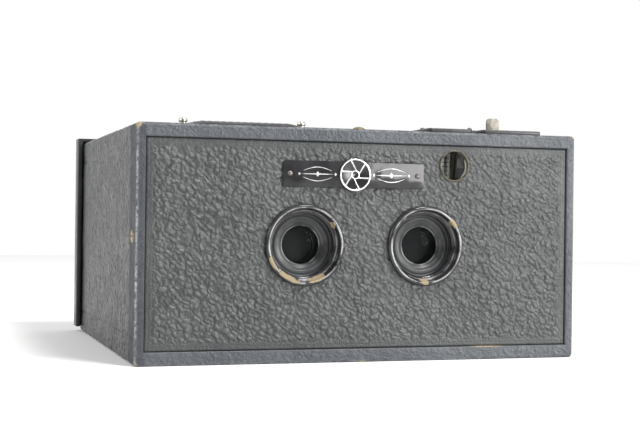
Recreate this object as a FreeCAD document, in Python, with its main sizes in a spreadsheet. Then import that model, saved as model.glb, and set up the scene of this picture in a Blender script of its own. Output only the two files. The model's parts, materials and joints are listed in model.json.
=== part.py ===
import FreeCAD, Part

import os
import re

import Sketcher

# Box-form stereo camera for roll film: a board case covered in leatherette, two lenses side by side,
# a swinging-blade shutter worked by one lever, a waist-level finder and a lid-type back door.
# Frame: X to the viewer's right, Y from the lenses to the back door, Z up, origin under the box's middle.
# Millimetres and degrees.

SIZES = {
    # Case
    "case_width": 157.5,
    "case_height": 79.0,
    "front_y": -70.4,
    "rear_y": 67.1,
    "side_wall": 3.2,
    "top_wall": 4.6,
    "cover_thickness": 0.5,
    "cover_turn": 8.6,
    "edge_round": 1.2,
    "rim_depth": 2.0,
    # Front panel and its battens
    "panel_recess": 0.7,
    "panel_thickness": 3.0,
    "batten_width": 6.0,
    "batten_depth": 6.0,
    "top_batten_end": 20.0,
    "screw_radius": 1.1,
    "screw_head_radius": 2.2,
    "screw_length": 8.0,
    "screw_rim": 0.3,
    "left_screw_z": 42.0,
    "right_screw_z": 37.5,
    "middle_screw_x": -1.4,
    "screw_setback": 5.6,
    # Lenses
    "lens_pitch": 43.3,
    "lens_z": 39.5,
    "bezel_radius": 13.8,
    "bezel_proud": 0.6,
    "bezel_lip": 12.3,
    "bezel_bore": 10.7,
    "bezel_barrel": 12.6,
    "bezel_depth": 4.9,
    "mount_radius": 12.4,
    "mount_barrel": 9.2,
    "mount_cone": 8.6,
    "lens_window": 6.6,
    "lens_radius": 7.5,
    "lens_thickness": 1.7,
    "lens_blank": 2.9,
    "lens_seat": 7.0,
    "lens_front_curve": 24.0,
    "lens_back_curve": 30.0,
    "mount_flange": 1.5,
    "fit_gap": 0.1,
    # Shutter
    "plate_thickness": 1.0,
    "shutter_hole": 5.4,
    "stop_radius": 3.8,
    "stop_plate_gap": 4.0,
    "blade_thickness": 0.4,
    "blade_lift": 0.5,
    "blade_swing": 35.9,
    "blade_spread": 56.0,
    "blade_reach": 21.2,
    "blade_pivot_drop": 16.0,
    "blade_hole": 4.4,
    "tail_reach": 5.75,
    "tail_half_width": 3.0,
    "fork_half_width": 1.2,
    "post_radius": 1.2,
    "pivot_gap": 0.05,
    "bar_half_height": 2.5,
    "bar_thickness": 0.8,
    "bar_lift": 1.8,
    "bar_travel": 4.16,
    "bar_pin_radius": 0.8,
    "bar_pin_length": 1.5,
    "bar_end": 3.5,
    "guide_post_x": 40.0,
    "spring_post_x": 72.4,
    "spacer_x": 70.0,
    "spacer_low_z": 11.0,
    "spacer_high_z": 66.0,
    "lever_x": 57.4,
    "lever_pivot_z": 44.0,
    "lever_swing": 9.0,
    "lever_top_z": 85.2,
    "lever_thickness": 0.8,
    "lever_tab_width": 4.8,
    "lever_tab_z": 76.0,
    "lever_arm_top": 33.0,
    "lever_arm_half_width": 2.6,
    "spring_radius": 1.4,
    # Finder
    "finder_x": 32.3,
    "finder_z": 67.3,
    "finder_radius": 5.0,
    "finder_ring_radius": 5.9,
    "finder_width": 17.0,
    "finder_depth": 15.8,
    "finder_wall": 1.0,
    "finder_floor_z": 59.4,
    "finder_centre_setback": 12.4,
    "window_width": 14.0,
    "window_depth": 11.0,
    "frame_width": 17.0,
    "frame_depth": 17.0,
    "frame_height": 1.5,
    "frame_lap": 0.7,
    "frame_rivet_inset": 1.1,
    "screen_depth": 2.2,
    "mirror_width": 14.4,
    "mirror_length": 17.2,
    "mirror_thickness": 0.8,
    "finder_lens_front": 0.9,
    "finder_lens_depth": 2.7,
    "finder_curve": 14.0,
    "finder_ring_lip": 0.3,
    "finder_ring_height": 0.7,
    # Lever plate
    "lever_plate_left": 44.6,
    "lever_plate_right": 67.6,
    "lever_plate_depth": 15.0,
    "lever_plate_height": 1.6,
    "plate_corner": 1.4,
    "plate_rivet_inset": 2.4,
    "plate_rivet_setback": 5.0,
    "lever_slot_width": 2.4,
    "lever_slot_length": 18.4,
    # Name plate
    "name_x": -4.45,
    "name_z": 63.4,
    "name_width": 50.4,
    "name_height": 8.9,
    "name_thickness": 0.5,
    "medal_radius": 5.6,
    "medal_thickness": 0.7,
    "medal_step": 0.2,
    "rivet_radius": 0.9,
    "rivet_spread": 22.8,
    "rivet_shank": 2.6,
    # Handle
    "strap_centre_x": -32.4,
    "strap_stud_spread": 22.2,
    "strap_setback": 45.0,
    "strap_width": 12.0,
    "strap_thickness": 1.4,
    "strap_lift": 2.7,
    "strap_overhang": 4.6,
    "stud_radius": 1.5,
    "stud_head_radius": 2.3,
    "stud_top_z": 84.2,
    "stud_head_height": 0.9,
    # Film transport
    "spool_x": 62.3,
    "spool_setback": 116.0,
    "spool_flange_radius": 12.6,
    "spool_core_radius": 6.0,
    "spool_half_length": 32.9,
    "spool_bore": 2.6,
    "spool_flange": 1.0,
    "key_slot_half": 5.0,
    "key_slot_width": 1.6,
    "key_slot_depth": 5.0,
    "key_half": 4.5,
    "key_thickness": 1.1,
    "key_height": 4.0,
    "key_bottom_z": 68.6,
    "shaft_radius": 2.2,
    "key_well_radius": 5.0,
    "collar_radius": 4.6,
    "collar_height": 0.7,
    "knob_radius": 9.5,
    "knob_bottom_z": 80.1,
    "knob_top_z": 85.5,
    "knob_chamfer": 0.7,
    "knob_plate_radius": 7.5,
    "knob_plate_height": 0.6,
    "spool_pin_radius": 2.3,
    "spool_pin_length": 5.0,
    "gate_setback": 131.0,
    "gate_thickness": 1.5,
    "gate_half_width": 47.5,
    "picture_width": 41.4,
    "picture_height": 56.0,
    "picture_inset": 1.2,
    "septum_thickness": 1.6,
    "chamber_front": 36.0,
    "chamber_rear": 44.6,
    "chamber_wall": 1.5,
    "roller_x": 51.0,
    "roller_radius": 2.5,
    "roller_journal": 1.2,
    "roller_end_gap": 2.6,
    "bracket_half": 2.6,
    "bracket_thickness": 1.5,
    # Back door
    "door_thickness": 3.0,
    "door_bottom_z": 2.0,
    "lip_thickness": 2.0,
    "top_lip_thickness": 1.4,
    "lip_gap": 0.3,
    "lip_overlap": 4.5,
    "red_window_z": 22.0,
    "red_window_radius": 6.0,
    "window_ring_radius": 8.0,
    "window_ring_proud": 0.9,
    "window_pane": 0.8,
    "pad_half_width": 43.0,
    "pad_thickness": 4.2,
    "pad_bottom_z": 9.0,
    "pad_top_z": 70.0,
    "hinge_z": 1.6,
    "hinge_radius": 1.5,
    "hinge_pin_radius": 0.75,
    "hinge_half_length": 40.0,
    "knuckle_half_length": 13.0,
    "knuckle_gap": 0.5,
    "leaf_thickness": 0.8,
    "leaf_length": 13.6,
    "hinge_notch_z": 3.6,
    # Latch
    "latch_setback": 124.0,
    "latch_z": 81.6,
    "latch_thickness": 0.8,
    "latch_reach": 12.4,
    "latch_rest_angle": 35.0,
    "latch_hook_radius": 3.4,
    "latch_half_width": 2.6,
    "latch_stud_radius": 1.2,
    "latch_stud_top_z": 83.2,
}

V = FreeCAD.Vector
UPRIGHT = FreeCAD.Rotation()
FACING_FRONT = FreeCAD.Rotation(V(1, 0, 0), 90)
RUNNING_BACK = FreeCAD.Rotation(V(1, 0, 0), -90)
RUNNING_RIGHT = FreeCAD.Rotation(V(0, 1, 0), 90)
RUNNING_LEFT = FreeCAD.Rotation(V(0, 1, 0), -90)
HANGING = FreeCAD.Rotation(V(1, 0, 0), 180)
TINY = 0.001

document = FreeCAD.newDocument("StereoBoxCamera")
sheet = document.addObject("Spreadsheet::Sheet", "Sizes")
for row, (alias, value) in enumerate(SIZES.items(), start=1):
    sheet.set("A%d" % row, alias)
    sheet.set("B%d" % row, str(value))
    sheet.setAlias("B%d" % row, alias)
document.recompute()

nodes = []


def bound(text):
    """The expression with each size name pointed at the sheet."""
    return re.sub(r"\b([a-z]+(?:_[a-z]+)+)\b", r"Sizes.\1", str(text))


def size(text):
    """The present value of an expression."""
    value = sheet.evalExpression(bound(text))
    return float(getattr(value, "Value", value))


def bind(item, prop, text):
    item.setExpression(prop, bound(text))


def place(item, at, rotation=UPRIGHT):
    item.Placement = FreeCAD.Placement(V(0, 0, 0), rotation)
    for letter, text in zip("xyz", at):
        bind(item, "Placement.Base." + letter, text)
    return item


def node(item, label):
    """Marks an object as a finished sub-part."""
    item.Label = label
    nodes.append(item)
    return item


def box(x, y, z):
    """A block between two places on each axis."""
    block = document.addObject("Part::Box", "Block")
    for prop, (low, high) in zip(("Length", "Width", "Height"), (x, y, z)):
        bind(block, prop, "(%s) - (%s)" % (high, low))
    return place(block, (x[0], y[0], z[0]))


def rod(radius, length, at, rotation=UPRIGHT):
    cylinder = document.addObject("Part::Cylinder", "Rod")
    bind(cylinder, "Radius", radius)
    bind(cylinder, "Height", length)
    return place(cylinder, at, rotation)


def cut(base, *tools):
    """The base less each tool."""
    result = document.addObject("Part::Cut", "Cut")
    result.Base = base
    result.Tool = tools[0] if len(tools) == 1 else fuse(*tools)
    return result


def fuse(*items):
    result = document.addObject("Part::MultiFuse", "Union")
    result.Shapes = list(items)
    return result


def group(*items):
    """Separate solids that share one node."""
    result = document.addObject("Part::Compound", "Group")
    result.Links = list(items)
    return result


def origin_plane(body, role):
    return [feature for feature in body.Origin.OriginFeatures if feature.Role == role][0]


def add_outline(sketch, outline):
    """A closed polygon whose corners are bound to the sheet."""
    corners = [(size(u), size(v)) for u, v in outline]
    first = sketch.GeometryCount
    count = len(corners)
    for index, corner in enumerate(corners):
        following = corners[(index + 1) % count]
        sketch.addGeometry(Part.LineSegment(V(*corner, 0), V(*following, 0)), False)
    for index, corner in enumerate(corners):
        following = first + (index + 1) % count
        sketch.addConstraint(Sketcher.Constraint("Coincident", first + index, 2, following, 1))
        for kind, value, text in zip(("DistanceX", "DistanceY"), corner, outline[index]):
            number = sketch.addConstraint(Sketcher.Constraint(kind, -1, 1, first + index, 1, value))
            bind(sketch, "Constraints[%d]" % number, text)


def add_circle(sketch, centre, radius):
    place_now = V(size(centre[0]), size(centre[1]), 0)
    index = sketch.addGeometry(Part.Circle(place_now, V(0, 0, 1), size(radius)), False)
    for kind, value, text in zip(("DistanceX", "DistanceY"), place_now, centre):
        number = sketch.addConstraint(Sketcher.Constraint(kind, -1, 1, index, 3, value))
        bind(sketch, "Constraints[%d]" % number, text)
    number = sketch.addConstraint(Sketcher.Constraint("Radius", index, size(radius)))
    bind(sketch, "Constraints[%d]" % number, radius)


def new_body(role):
    body = document.addObject("PartDesign::Body", "Piece")
    sketch = body.newObject("Sketcher::SketchObject", "Outline")
    sketch.AttachmentSupport = [(origin_plane(body, role), "")]
    sketch.MapMode = "FlatFace"
    return body, sketch


def turned(profile, at, rotation=UPRIGHT):
    """A piece turned about its own Z from (radius, height) corners."""
    body, sketch = new_body("XZ_Plane")
    add_outline(sketch, profile)
    turn = body.newObject("PartDesign::Revolution", "Turn")
    turn.Profile = sketch
    turn.ReferenceAxis = (sketch, ["V_Axis"])
    turn.Angle = 360
    return place(body, at, rotation)


def plate(outline, thickness, at, rotation=UPRIGHT, holes=(), windows=()):
    """A flat piece with round holes and shaped windows, thick along its own Z."""
    body, sketch = new_body("XY_Plane")
    add_outline(sketch, outline)
    for centre, radius in holes:
        add_circle(sketch, centre, radius)
    for window in windows:
        add_outline(sketch, window)
    pad = body.newObject("PartDesign::Pad", "Thickness")
    pad.Profile = sketch
    bind(pad, "Length", thickness)
    return place(body, at, rotation)


def rounded(body, radius, wanted):
    """Rounds the edges of the body's last feature that the test picks."""
    document.recompute()
    last = body.Tip
    names = ["Edge%d" % (index + 1) for index, edge in enumerate(last.Shape.Edges) if wanted(edge)]
    fillet = body.newObject("PartDesign::Fillet", "Round")
    fillet.Base = (last, names)
    bind(fillet, "Radius", radius)
    return body


def along(edge, direction):
    """True for a straight edge that runs along a direction."""
    if not isinstance(edge.Curve, Part.Line):
        return False
    return abs(edge.tangentAt(edge.FirstParameter).dot(direction)) > 0.999


def behind(setback):
    """The Y of a place so far behind the rim's front."""
    return "front_y + (%s)" % setback


HALF_WIDTH = "case_width / 2"
INNER_X = "case_width / 2 - side_wall"
INNER_TOP = "case_height - top_wall"
PANEL_FRONT = "panel_recess + cover_thickness"
PANEL_BACK = "panel_recess + cover_thickness + panel_thickness"
PLATE_FRONT = PANEL_BACK + " + batten_depth"
PLATE_BACK = PLATE_FRONT + " + plate_thickness"
STOP_FRONT = PLATE_BACK + " + stop_plate_gap"
STOP_BACK = STOP_FRONT + " + plate_thickness"
GATE_BACK = "gate_setback + gate_thickness"
LENS_XS = {"left": "-lens_pitch / 2", "right": "lens_pitch / 2"}
BLADE_PIVOT_Z = "lens_z - blade_pivot_drop"
BAR_Z = BLADE_PIVOT_Z + " - tail_reach"
FINDER_Y = "front_y + finder_centre_setback"
LEVER_Y = "front_y + %s + blade_lift + lever_thickness / 2" % PLATE_BACK
BAR_Y = "front_y + %s + bar_lift" % PLATE_BACK
SPOOL_Y = "front_y + spool_setback"
DOOR_SKIN_Y = "rear_y + door_thickness - cover_thickness"


def side_span(side, near, far):
    """The span between two distances from the middle plane, on the left (-1) or the right (1)."""
    return ("-(%s)" % far, "-(%s)" % near) if side < 0 else (near, far)


def centred(centre, half):
    return ("(%s) - (%s)" % (centre, half), "(%s) + (%s)" % (centre, half))


def rectangle(x, y):
    return [(x[0], y[0]), (x[1], y[0]), (x[1], y[1]), (x[0], y[1])]


# Openings that several pieces share.

def finder_opening():
    return box(centred("finder_x", "window_width / 2"), centred(FINDER_Y, "window_depth / 2"),
               (INNER_TOP + " - 1", "case_height + 1"))


def lever_slot():
    """The straight slot that the lever's tab swings along."""
    return box(centred("lever_x", "lever_slot_length / 2"), centred(LEVER_Y, "lever_slot_width / 2"),
               (INNER_TOP + " - 1", "case_height + lever_plate_height + 1"))


def key_well():
    """The round well in the top board that the winding key rises into."""
    return rod("key_well_radius", "top_wall + 2", ("spool_x", SPOOL_Y, INNER_TOP + " - 1"))


def hinge_recess():
    """Room under the case for the hinge leaf and its knuckles."""
    half = "hinge_half_length + knuckle_gap"
    leaf = box(centred("0", half), ("rear_y - leaf_length", "rear_y + 1"),
               ("-1", "hinge_z - hinge_radius + leaf_thickness"))
    knuckles = box(centred("0", half), ("rear_y - hinge_radius - knuckle_gap", "rear_y + 1"),
                   ("-1", "hinge_notch_z"))
    return fuse(leaf, knuckles)


# Case.

def case_boards():
    """Four boards, butted at the corners, open at the front and the back."""
    outer_x = "case_width / 2 - cover_thickness"
    run = ("front_y + rim_depth", "rear_y")
    top = box(centred("0", outer_x), run, (INNER_TOP, "case_height - cover_thickness"))
    node(cut(top, finder_opening(), lever_slot(), key_well()), "top_board")
    bottom = box(centred("0", outer_x), run, ("cover_thickness", "top_wall"))
    node(cut(bottom, hinge_recess()), "bottom_board")
    sides = [box(side_span(side, INNER_X, outer_x), run, ("top_wall", INNER_TOP)) for side in (-1, 1)]
    node(group(*sides), "side_boards")


def covering_strip(label, rotation, y, z, *openings):
    """A strip of leatherette over the top or bottom, turned down over the two sides."""
    inner_x = "case_width / 2 - cover_thickness"
    outline = [
        ("-" + HALF_WIDTH, "-cover_turn"), ("-" + HALF_WIDTH, "0"),
        (HALF_WIDTH, "0"), (HALF_WIDTH, "-cover_turn"),
        (inner_x, "-cover_turn"), (inner_x, "-cover_thickness"),
        ("-(%s)" % inner_x, "-cover_thickness"), ("-(%s)" % inner_x, "-cover_turn"),
    ]
    body = plate(outline, "rear_y - front_y - rim_depth", ("0", y, z), rotation)

    def long_corner(edge):
        return along(edge, V(0, 0, 1)) and abs(edge.CenterOfMass.y) < TINY

    rounded(body, "edge_round", long_corner)
    node(cut(body, *openings), label)


def coverings():
    covering_strip("top_covering", FACING_FRONT, "rear_y", "case_height",
                   finder_opening(), lever_slot(), key_well())
    covering_strip("bottom_covering", RUNNING_BACK, "front_y + rim_depth", "0", hinge_recess())
    inner_x = "case_width / 2 - cover_thickness"
    sides = [
        box(side_span(side, inner_x, HALF_WIDTH), ("front_y + rim_depth", "rear_y"),
            ("cover_turn", "case_height - cover_turn"))
        for side in (-1, 1)
    ]
    node(group(*sides), "side_coverings")


def front_rim():
    """The rounded, covered rim that frames the front panel."""
    outline = rectangle(centred("0", HALF_WIDTH), ("0", "case_height"))
    window = rectangle(centred("0", INNER_X), ("top_wall", INNER_TOP))
    body = plate(outline, "rim_depth", ("0", "front_y + rim_depth", "0"), FACING_FRONT, windows=[window])

    def outer_edge(edge):
        middle = edge.CenterOfMass
        outside = (abs(middle.x) > size(HALF_WIDTH) - TINY or middle.y < TINY
                   or middle.y > size("case_height") - TINY)
        return outside and middle.z > TINY

    node(rounded(body, "edge_round", outer_edge), "front_rim")


# Front panel.

def front_panel():
    """The inset board, its leatherette and the battens that it and the shutter plate are fixed to."""
    outline = rectangle(centred("0", INNER_X), ("top_wall", INNER_TOP))
    holes = [((x, "lens_z"), "bezel_barrel + fit_gap") for x in LENS_XS.values()]
    holes.append((("finder_x", "finder_z"), "finder_radius + fit_gap"))
    node(plate(outline, "panel_thickness", ("0", behind(PANEL_BACK), "0"), FACING_FRONT, holes),
         "front_panel")
    node(plate(outline, "cover_thickness", ("0", behind(PANEL_FRONT), "0"), FACING_FRONT, holes),
         "front_covering")


def front_battens():
    depth = (behind(PANEL_BACK), behind(PLATE_FRONT))
    inner = INNER_X + " - batten_width"
    upper = (INNER_TOP + " - batten_width", INNER_TOP)
    sticks = [box(side_span(side, inner, INNER_X), depth, ("top_wall", INNER_TOP)) for side in (-1, 1)]
    sticks.append(box(centred("0", inner), depth, ("top_wall", "top_wall + batten_width")))
    sticks.append(box(("-(%s)" % inner, "top_batten_end"), depth, upper))
    node(group(*sticks), "front_battens")


def frame_screws():
    """One countersunk wood screw through the middle of each side of the case into the battens."""
    profile = [
        ("0", "0"), ("screw_head_radius", "0"), ("screw_head_radius", "screw_rim"),
        ("screw_radius", "screw_rim + screw_head_radius - screw_radius"),
        ("screw_radius", "screw_length - screw_radius"), ("0", "screw_length"),
    ]
    y = behind("screw_setback")
    places = [
        (("-" + HALF_WIDTH, y, "left_screw_z"), RUNNING_RIGHT),
        ((HALF_WIDTH, y, "right_screw_z"), RUNNING_LEFT),
        (("middle_screw_x", y, "0"), UPRIGHT),
        (("middle_screw_x", y, "case_height"), HANGING),
    ]
    node(group(*(turned(profile, at, rotation) for at, rotation in places)), "frame_screws")


def name_plate():
    """A narrow plate with a round seat in its middle, and the disc that stands on the seat."""
    half = "name_width / 2"
    low = "name_z - name_height / 2"
    high = "name_z + name_height / 2"
    nip = "name_thickness"
    outline = [
        ("name_x - %s + %s" % (half, nip), low), ("name_x + %s - %s" % (half, nip), low),
        ("name_x + %s" % half, "%s + %s" % (low, nip)), ("name_x + %s" % half, "%s - %s" % (high, nip)),
        ("name_x + %s - %s" % (half, nip), high), ("name_x - %s + %s" % (half, nip), high),
        ("name_x - %s" % half, "%s - %s" % (high, nip)), ("name_x - %s" % half, "%s + %s" % (low, nip)),
    ]
    bar = plate(outline, "name_thickness", ("0", behind("panel_recess"), "0"), FACING_FRONT)
    centre = ("name_x", behind("panel_recess"), "name_z")
    seat = rod("medal_radius + medal_step", "name_thickness", centre, FACING_FRONT)
    node(fuse(bar, seat), "name_plate")
    medal = [
        ("0", "0"), ("medal_radius", "0"), ("medal_radius", "medal_thickness - medal_step"),
        ("medal_radius - medal_step", "medal_thickness"),
        ("medal_radius - 3 * medal_step", "medal_thickness"),
        ("medal_radius - 4 * medal_step", "medal_thickness - medal_step"),
        ("0", "medal_thickness - medal_step"),
    ]
    standing = ("name_x", behind("panel_recess - name_thickness"), "name_z")
    node(turned(medal, standing, FACING_FRONT), "medallion")


def rivet(at, rotation=UPRIGHT):
    """A small domed rivet whose head stands on the given place."""
    profile = [
        ("0", "-rivet_shank"), ("rivet_radius / 2", "-rivet_shank"), ("rivet_radius / 2", "0"),
        ("rivet_radius", "0"), ("rivet_radius * 0.8", "rivet_radius * 0.45"), ("0", "rivet_radius * 0.65"),
    ]
    return turned(profile, at, rotation)


# Lenses.

def lenses():
    for side, x in LENS_XS.items():
        at = (x, "front_y", "lens_z")
        bezel = [
            ("bezel_lip", "-bezel_proud"), ("bezel_radius", "-bezel_proud"),
            ("bezel_radius", "panel_recess"), ("bezel_barrel", "panel_recess"),
            ("bezel_barrel", "bezel_depth"), ("bezel_bore", "bezel_depth"),
            ("bezel_bore", "panel_recess * 2"), ("bezel_lip", "panel_recess"),
        ]
        node(turned(bezel, at, RUNNING_BACK), side + "_lens_bezel")
        mount = [
            ("mount_cone", "bezel_depth"), ("mount_radius", "bezel_depth"),
            ("mount_radius", "bezel_depth + mount_flange"), ("mount_barrel", "bezel_depth + mount_flange"),
            ("mount_barrel", PLATE_FRONT), ("lens_radius + fit_gap", PLATE_FRONT),
            ("lens_radius + fit_gap", "lens_seat"), ("lens_window", "lens_seat"),
            ("lens_window", "bezel_depth + mount_flange"),
        ]
        node(turned(mount, at, RUNNING_BACK), side + "_lens_mount")
        node(meniscus(x), side + "_lens")


def ball(radius, at):
    sphere = document.addObject("Part::Sphere", "Ball")
    bind(sphere, "Radius", radius)
    return place(sphere, at)


def common(*items):
    result = document.addObject("Part::MultiCommon", "Overlap")
    result.Shapes = list(items)
    return result


def meniscus(x):
    """A lens that bulges to the front and is hollow behind."""
    blank = rod("lens_radius", "lens_blank", (x, behind("lens_seat"), "lens_z"), RUNNING_BACK)
    bulge = ball("lens_front_curve", (x, behind("lens_seat + lens_front_curve"), "lens_z"))
    hollow = ball("lens_back_curve", (x, behind("lens_seat + lens_thickness + lens_back_curve"), "lens_z"))
    return cut(common(blank, bulge), hollow)


# Shutter.

def bulkhead(label, back, hole_radius):
    """A plate across the case with two holes, cut away round the finder."""
    gap = "finder_width / 2 + fit_gap"
    low = "finder_floor_z - fit_gap"
    outline = [
        ("-(%s)" % INNER_X, "top_wall"), (INNER_X, "top_wall"), (INNER_X, INNER_TOP),
        ("finder_x + " + gap, INNER_TOP), ("finder_x + " + gap, low),
        ("finder_x - (%s)" % gap, low), ("finder_x - (%s)" % gap, INNER_TOP), ("-(%s)" % INNER_X, INNER_TOP),
    ]
    holes = [((x, "lens_z"), hole_radius) for x in LENS_XS.values()]
    node(plate(outline, "plate_thickness", ("0", behind(back), "0"), FACING_FRONT, holes), label)


def shutter_posts():
    """Spacers between the two plates, and the posts that the blades, the bar and the lever work on."""
    places = [(x, BLADE_PIVOT_Z) for x in LENS_XS.values()]
    places += [(x, BAR_Z) for x in ("0", "guide_post_x", "spring_post_x")]
    places += [("lever_x", "lever_pivot_z")]
    places += [("-spacer_x", "spacer_low_z"), ("-spacer_x", "spacer_high_z"), ("spacer_x", "spacer_low_z")]
    posts = [rod("post_radius", "stop_plate_gap", (x, behind(PLATE_BACK), z), RUNNING_BACK)
             for x, z in places]
    node(group(*posts), "shutter_posts")


def blade_outline():
    """A sector about the pivot with a forked tail, drawn at mid-travel, when its hole is on the lens."""
    steps = 12
    arc = []
    for step in range(steps + 1):
        turn = "(blade_spread * %d / %d)" % (steps - 2 * step, steps)
        arc.append(("-blade_reach * sin(%s * 1 deg)" % turn, "blade_reach * cos(%s * 1 deg)" % turn))
    tip = "-(tail_reach + tail_half_width)"
    crotch = "-(tail_reach - fork_half_width)"
    tail = [
        ("tail_half_width", "-tail_half_width"), ("tail_half_width", tip), ("fork_half_width", tip),
        ("fork_half_width", crotch), ("-fork_half_width", crotch), ("-fork_half_width", tip),
        ("-tail_half_width", tip), ("-tail_half_width", "-tail_half_width"),
    ]
    return arc + tail


def shutter_blades():
    turn_at_rest = FreeCAD.Rotation(V(0, 1, 0), -size("blade_swing")).multiply(FACING_FRONT)
    back = behind("%s + blade_lift + blade_thickness" % PLATE_BACK)
    holes = [(("0", "0"), "post_radius + pivot_gap"), (("0", "blade_pivot_drop"), "blade_hole")]
    for side, x in LENS_XS.items():
        body = plate(blade_outline(), "blade_thickness", (x, back, BLADE_PIVOT_Z), turn_at_rest, holes)
        node(body, side + "_shutter_blade")


def shutter_bar():
    """The sliding bar that joins the lever to both blades, with two guide slots and three drive pins."""
    slot_end = "post_radius + pivot_gap * 4"
    pins = [("%s + bar_travel" % x) for x in LENS_XS.values()] + ["lever_x + bar_travel"]
    ends = ("-lens_pitch / 2 + bar_travel - bar_end", "lever_x + bar_travel + bar_end")
    height = centred(BAR_Z, "bar_half_height")
    slots = [
        rectangle(("%s - (%s)" % (x, slot_end), "%s + 2 * bar_travel + %s" % (x, slot_end)),
                  centred(BAR_Z, slot_end))
        for x in ("0", "guide_post_x")
    ]
    strip = plate(rectangle(ends, height), "bar_thickness", ("0", BAR_Y + " + bar_thickness", "0"),
                  FACING_FRONT, windows=slots)
    rods = [rod("bar_pin_radius", "bar_pin_length", (x, BAR_Y, BAR_Z), FACING_FRONT) for x in pins]
    node(fuse(strip, *rods), "shutter_bar")


def release_lever():
    """A flat lever on a post: forked below to drive the bar, with a tab through the case's top."""
    arm = "lever_pivot_z - (%s)" % BAR_Z
    tip = "-(%s + tail_half_width)" % arm
    crotch = "-(%s - fork_half_width * 1.5)" % arm
    wide = "lever_arm_half_width"
    outline = [
        (wide, "lever_arm_top"), (wide, tip), ("fork_half_width", tip), ("fork_half_width", crotch),
        ("-fork_half_width", crotch), ("-fork_half_width", tip),
        ("-" + wide, tip), ("-" + wide, "lever_arm_top"),
    ]
    leaning = FreeCAD.Rotation(V(0, 1, 0), -size("lever_swing")).multiply(FACING_FRONT)
    back = LEVER_Y + " + lever_thickness / 2"
    holes = [(("0", "0"), "post_radius + pivot_gap")]
    bar = plate(outline, "lever_thickness", ("lever_x", back, "lever_pivot_z"), leaning, holes)
    lean = "(case_height - lever_pivot_z) * tan(lever_swing * 1 deg)"
    tab = box(centred("lever_x - %s" % lean, "lever_tab_width / 2"),
              centred(LEVER_Y, "lever_thickness / 2"), ("lever_tab_z", "lever_top_z"))
    node(fuse(bar, tab), "release_lever")


def shutter_spring():
    start = "lever_x + bar_travel + bar_end"
    run = "spring_post_x - post_radius - (%s)" % start
    at = (start, BAR_Y + " + bar_thickness / 2", BAR_Z)
    node(rod("spring_radius", run, at, RUNNING_RIGHT), "shutter_spring")


# Finder.

def finder():
    front = behind(PANEL_BACK)
    back = "%s + finder_depth" % front
    outer = box(centred("finder_x", "finder_width / 2"), (front, back), ("finder_floor_z", INNER_TOP))
    inner = box(centred("finder_x", "finder_width / 2 - finder_wall"),
                (front + " - 1", back + " - finder_wall"),
                ("finder_floor_z + finder_wall", INNER_TOP + " + 1"))
    node(cut(outer, inner), "finder_housing")
    leaning = FreeCAD.Rotation(V(1, 0, 0), 45)
    mirror = rectangle(centred("0", "mirror_width / 2"), centred("0", "mirror_length / 2"))
    node(plate(mirror, "mirror_thickness", ("finder_x", FINDER_Y, "finder_z"), leaning), "finder_mirror")
    blank = rod("finder_radius", "finder_lens_depth", ("finder_x", behind("finder_lens_front"), "finder_z"),
                RUNNING_BACK)
    bulge = ball("finder_curve", ("finder_x", behind("finder_lens_front + finder_curve"), "finder_z"))
    node(common(blank, bulge), "finder_lens")
    ring = [
        ("finder_radius - finder_ring_lip", "0"), ("finder_ring_radius", "0"),
        ("finder_ring_radius - finder_ring_lip", "finder_ring_height"),
        ("finder_radius - finder_ring_lip", "finder_ring_height"),
    ]
    node(turned(ring, ("finder_x", behind("panel_recess"), "finder_z"), FACING_FRONT), "finder_lens_ring")
    node(box(centred("finder_x", "window_width / 2 - fit_gap"),
             centred(FINDER_Y, "window_depth / 2 - fit_gap"),
             ("case_height - screen_depth", "case_height - fit_gap")), "finder_screen")


def raised_plate(x, y, height):
    """A flat plate with rounded corners on the case's top."""
    body = plate(rectangle(x, y), height, ("0", "0", "case_height"))

    def upright_edge(edge):
        return along(edge, V(0, 0, 1))

    return rounded(body, "plate_corner", upright_edge)


def top_plates():
    """The finder's frame and the lever's plate on the case's top, and the rivets of all the small plates."""
    frame = raised_plate(centred("finder_x", "frame_width / 2"), centred(FINDER_Y, "frame_depth / 2"),
                         "frame_height")
    node(cut(frame, frame_window()), "finder_frame")
    lever_plate = raised_plate(("lever_plate_left", "lever_plate_right"),
                               centred(LEVER_Y, "lever_plate_depth / 2"), "lever_plate_height")
    node(cut(lever_plate, lever_slot()), "lever_plate")
    node(group(*plate_rivets()), "plate_rivets")


def plate_rivets():
    """Three rivets on the finder's frame, two behind the lever's slot and two on the name plate."""
    frame_top = "case_height + frame_height"
    plate_top = "case_height + lever_plate_height"
    seat = behind("panel_recess - name_thickness")
    frame_side = "frame_width / 2 - frame_rivet_inset"
    frame_end = "frame_depth / 2 - frame_rivet_inset"
    rivets = [rivet(("finder_x - (%s)" % frame_side, FINDER_Y, frame_top))]
    for side in (-1, 1):
        rivets.append(rivet(("finder_x + " + frame_side, "%s + %d * (%s)" % (FINDER_Y, side, frame_end),
                             frame_top)))
        rivets.append(rivet(("name_x + %d * rivet_spread" % side, seat, "name_z"), FACING_FRONT))
    for x in ("lever_plate_left + plate_rivet_inset", "lever_plate_right - plate_rivet_inset"):
        rivets.append(rivet((x, LEVER_Y + " + plate_rivet_setback", plate_top)))
    return rivets


def frame_window():
    return box(centred("finder_x", "window_width / 2 - frame_lap"),
               centred(FINDER_Y, "window_depth / 2 - frame_lap"),
               ("case_height - 1", "case_height + frame_height + 1"))


# Handle.

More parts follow.
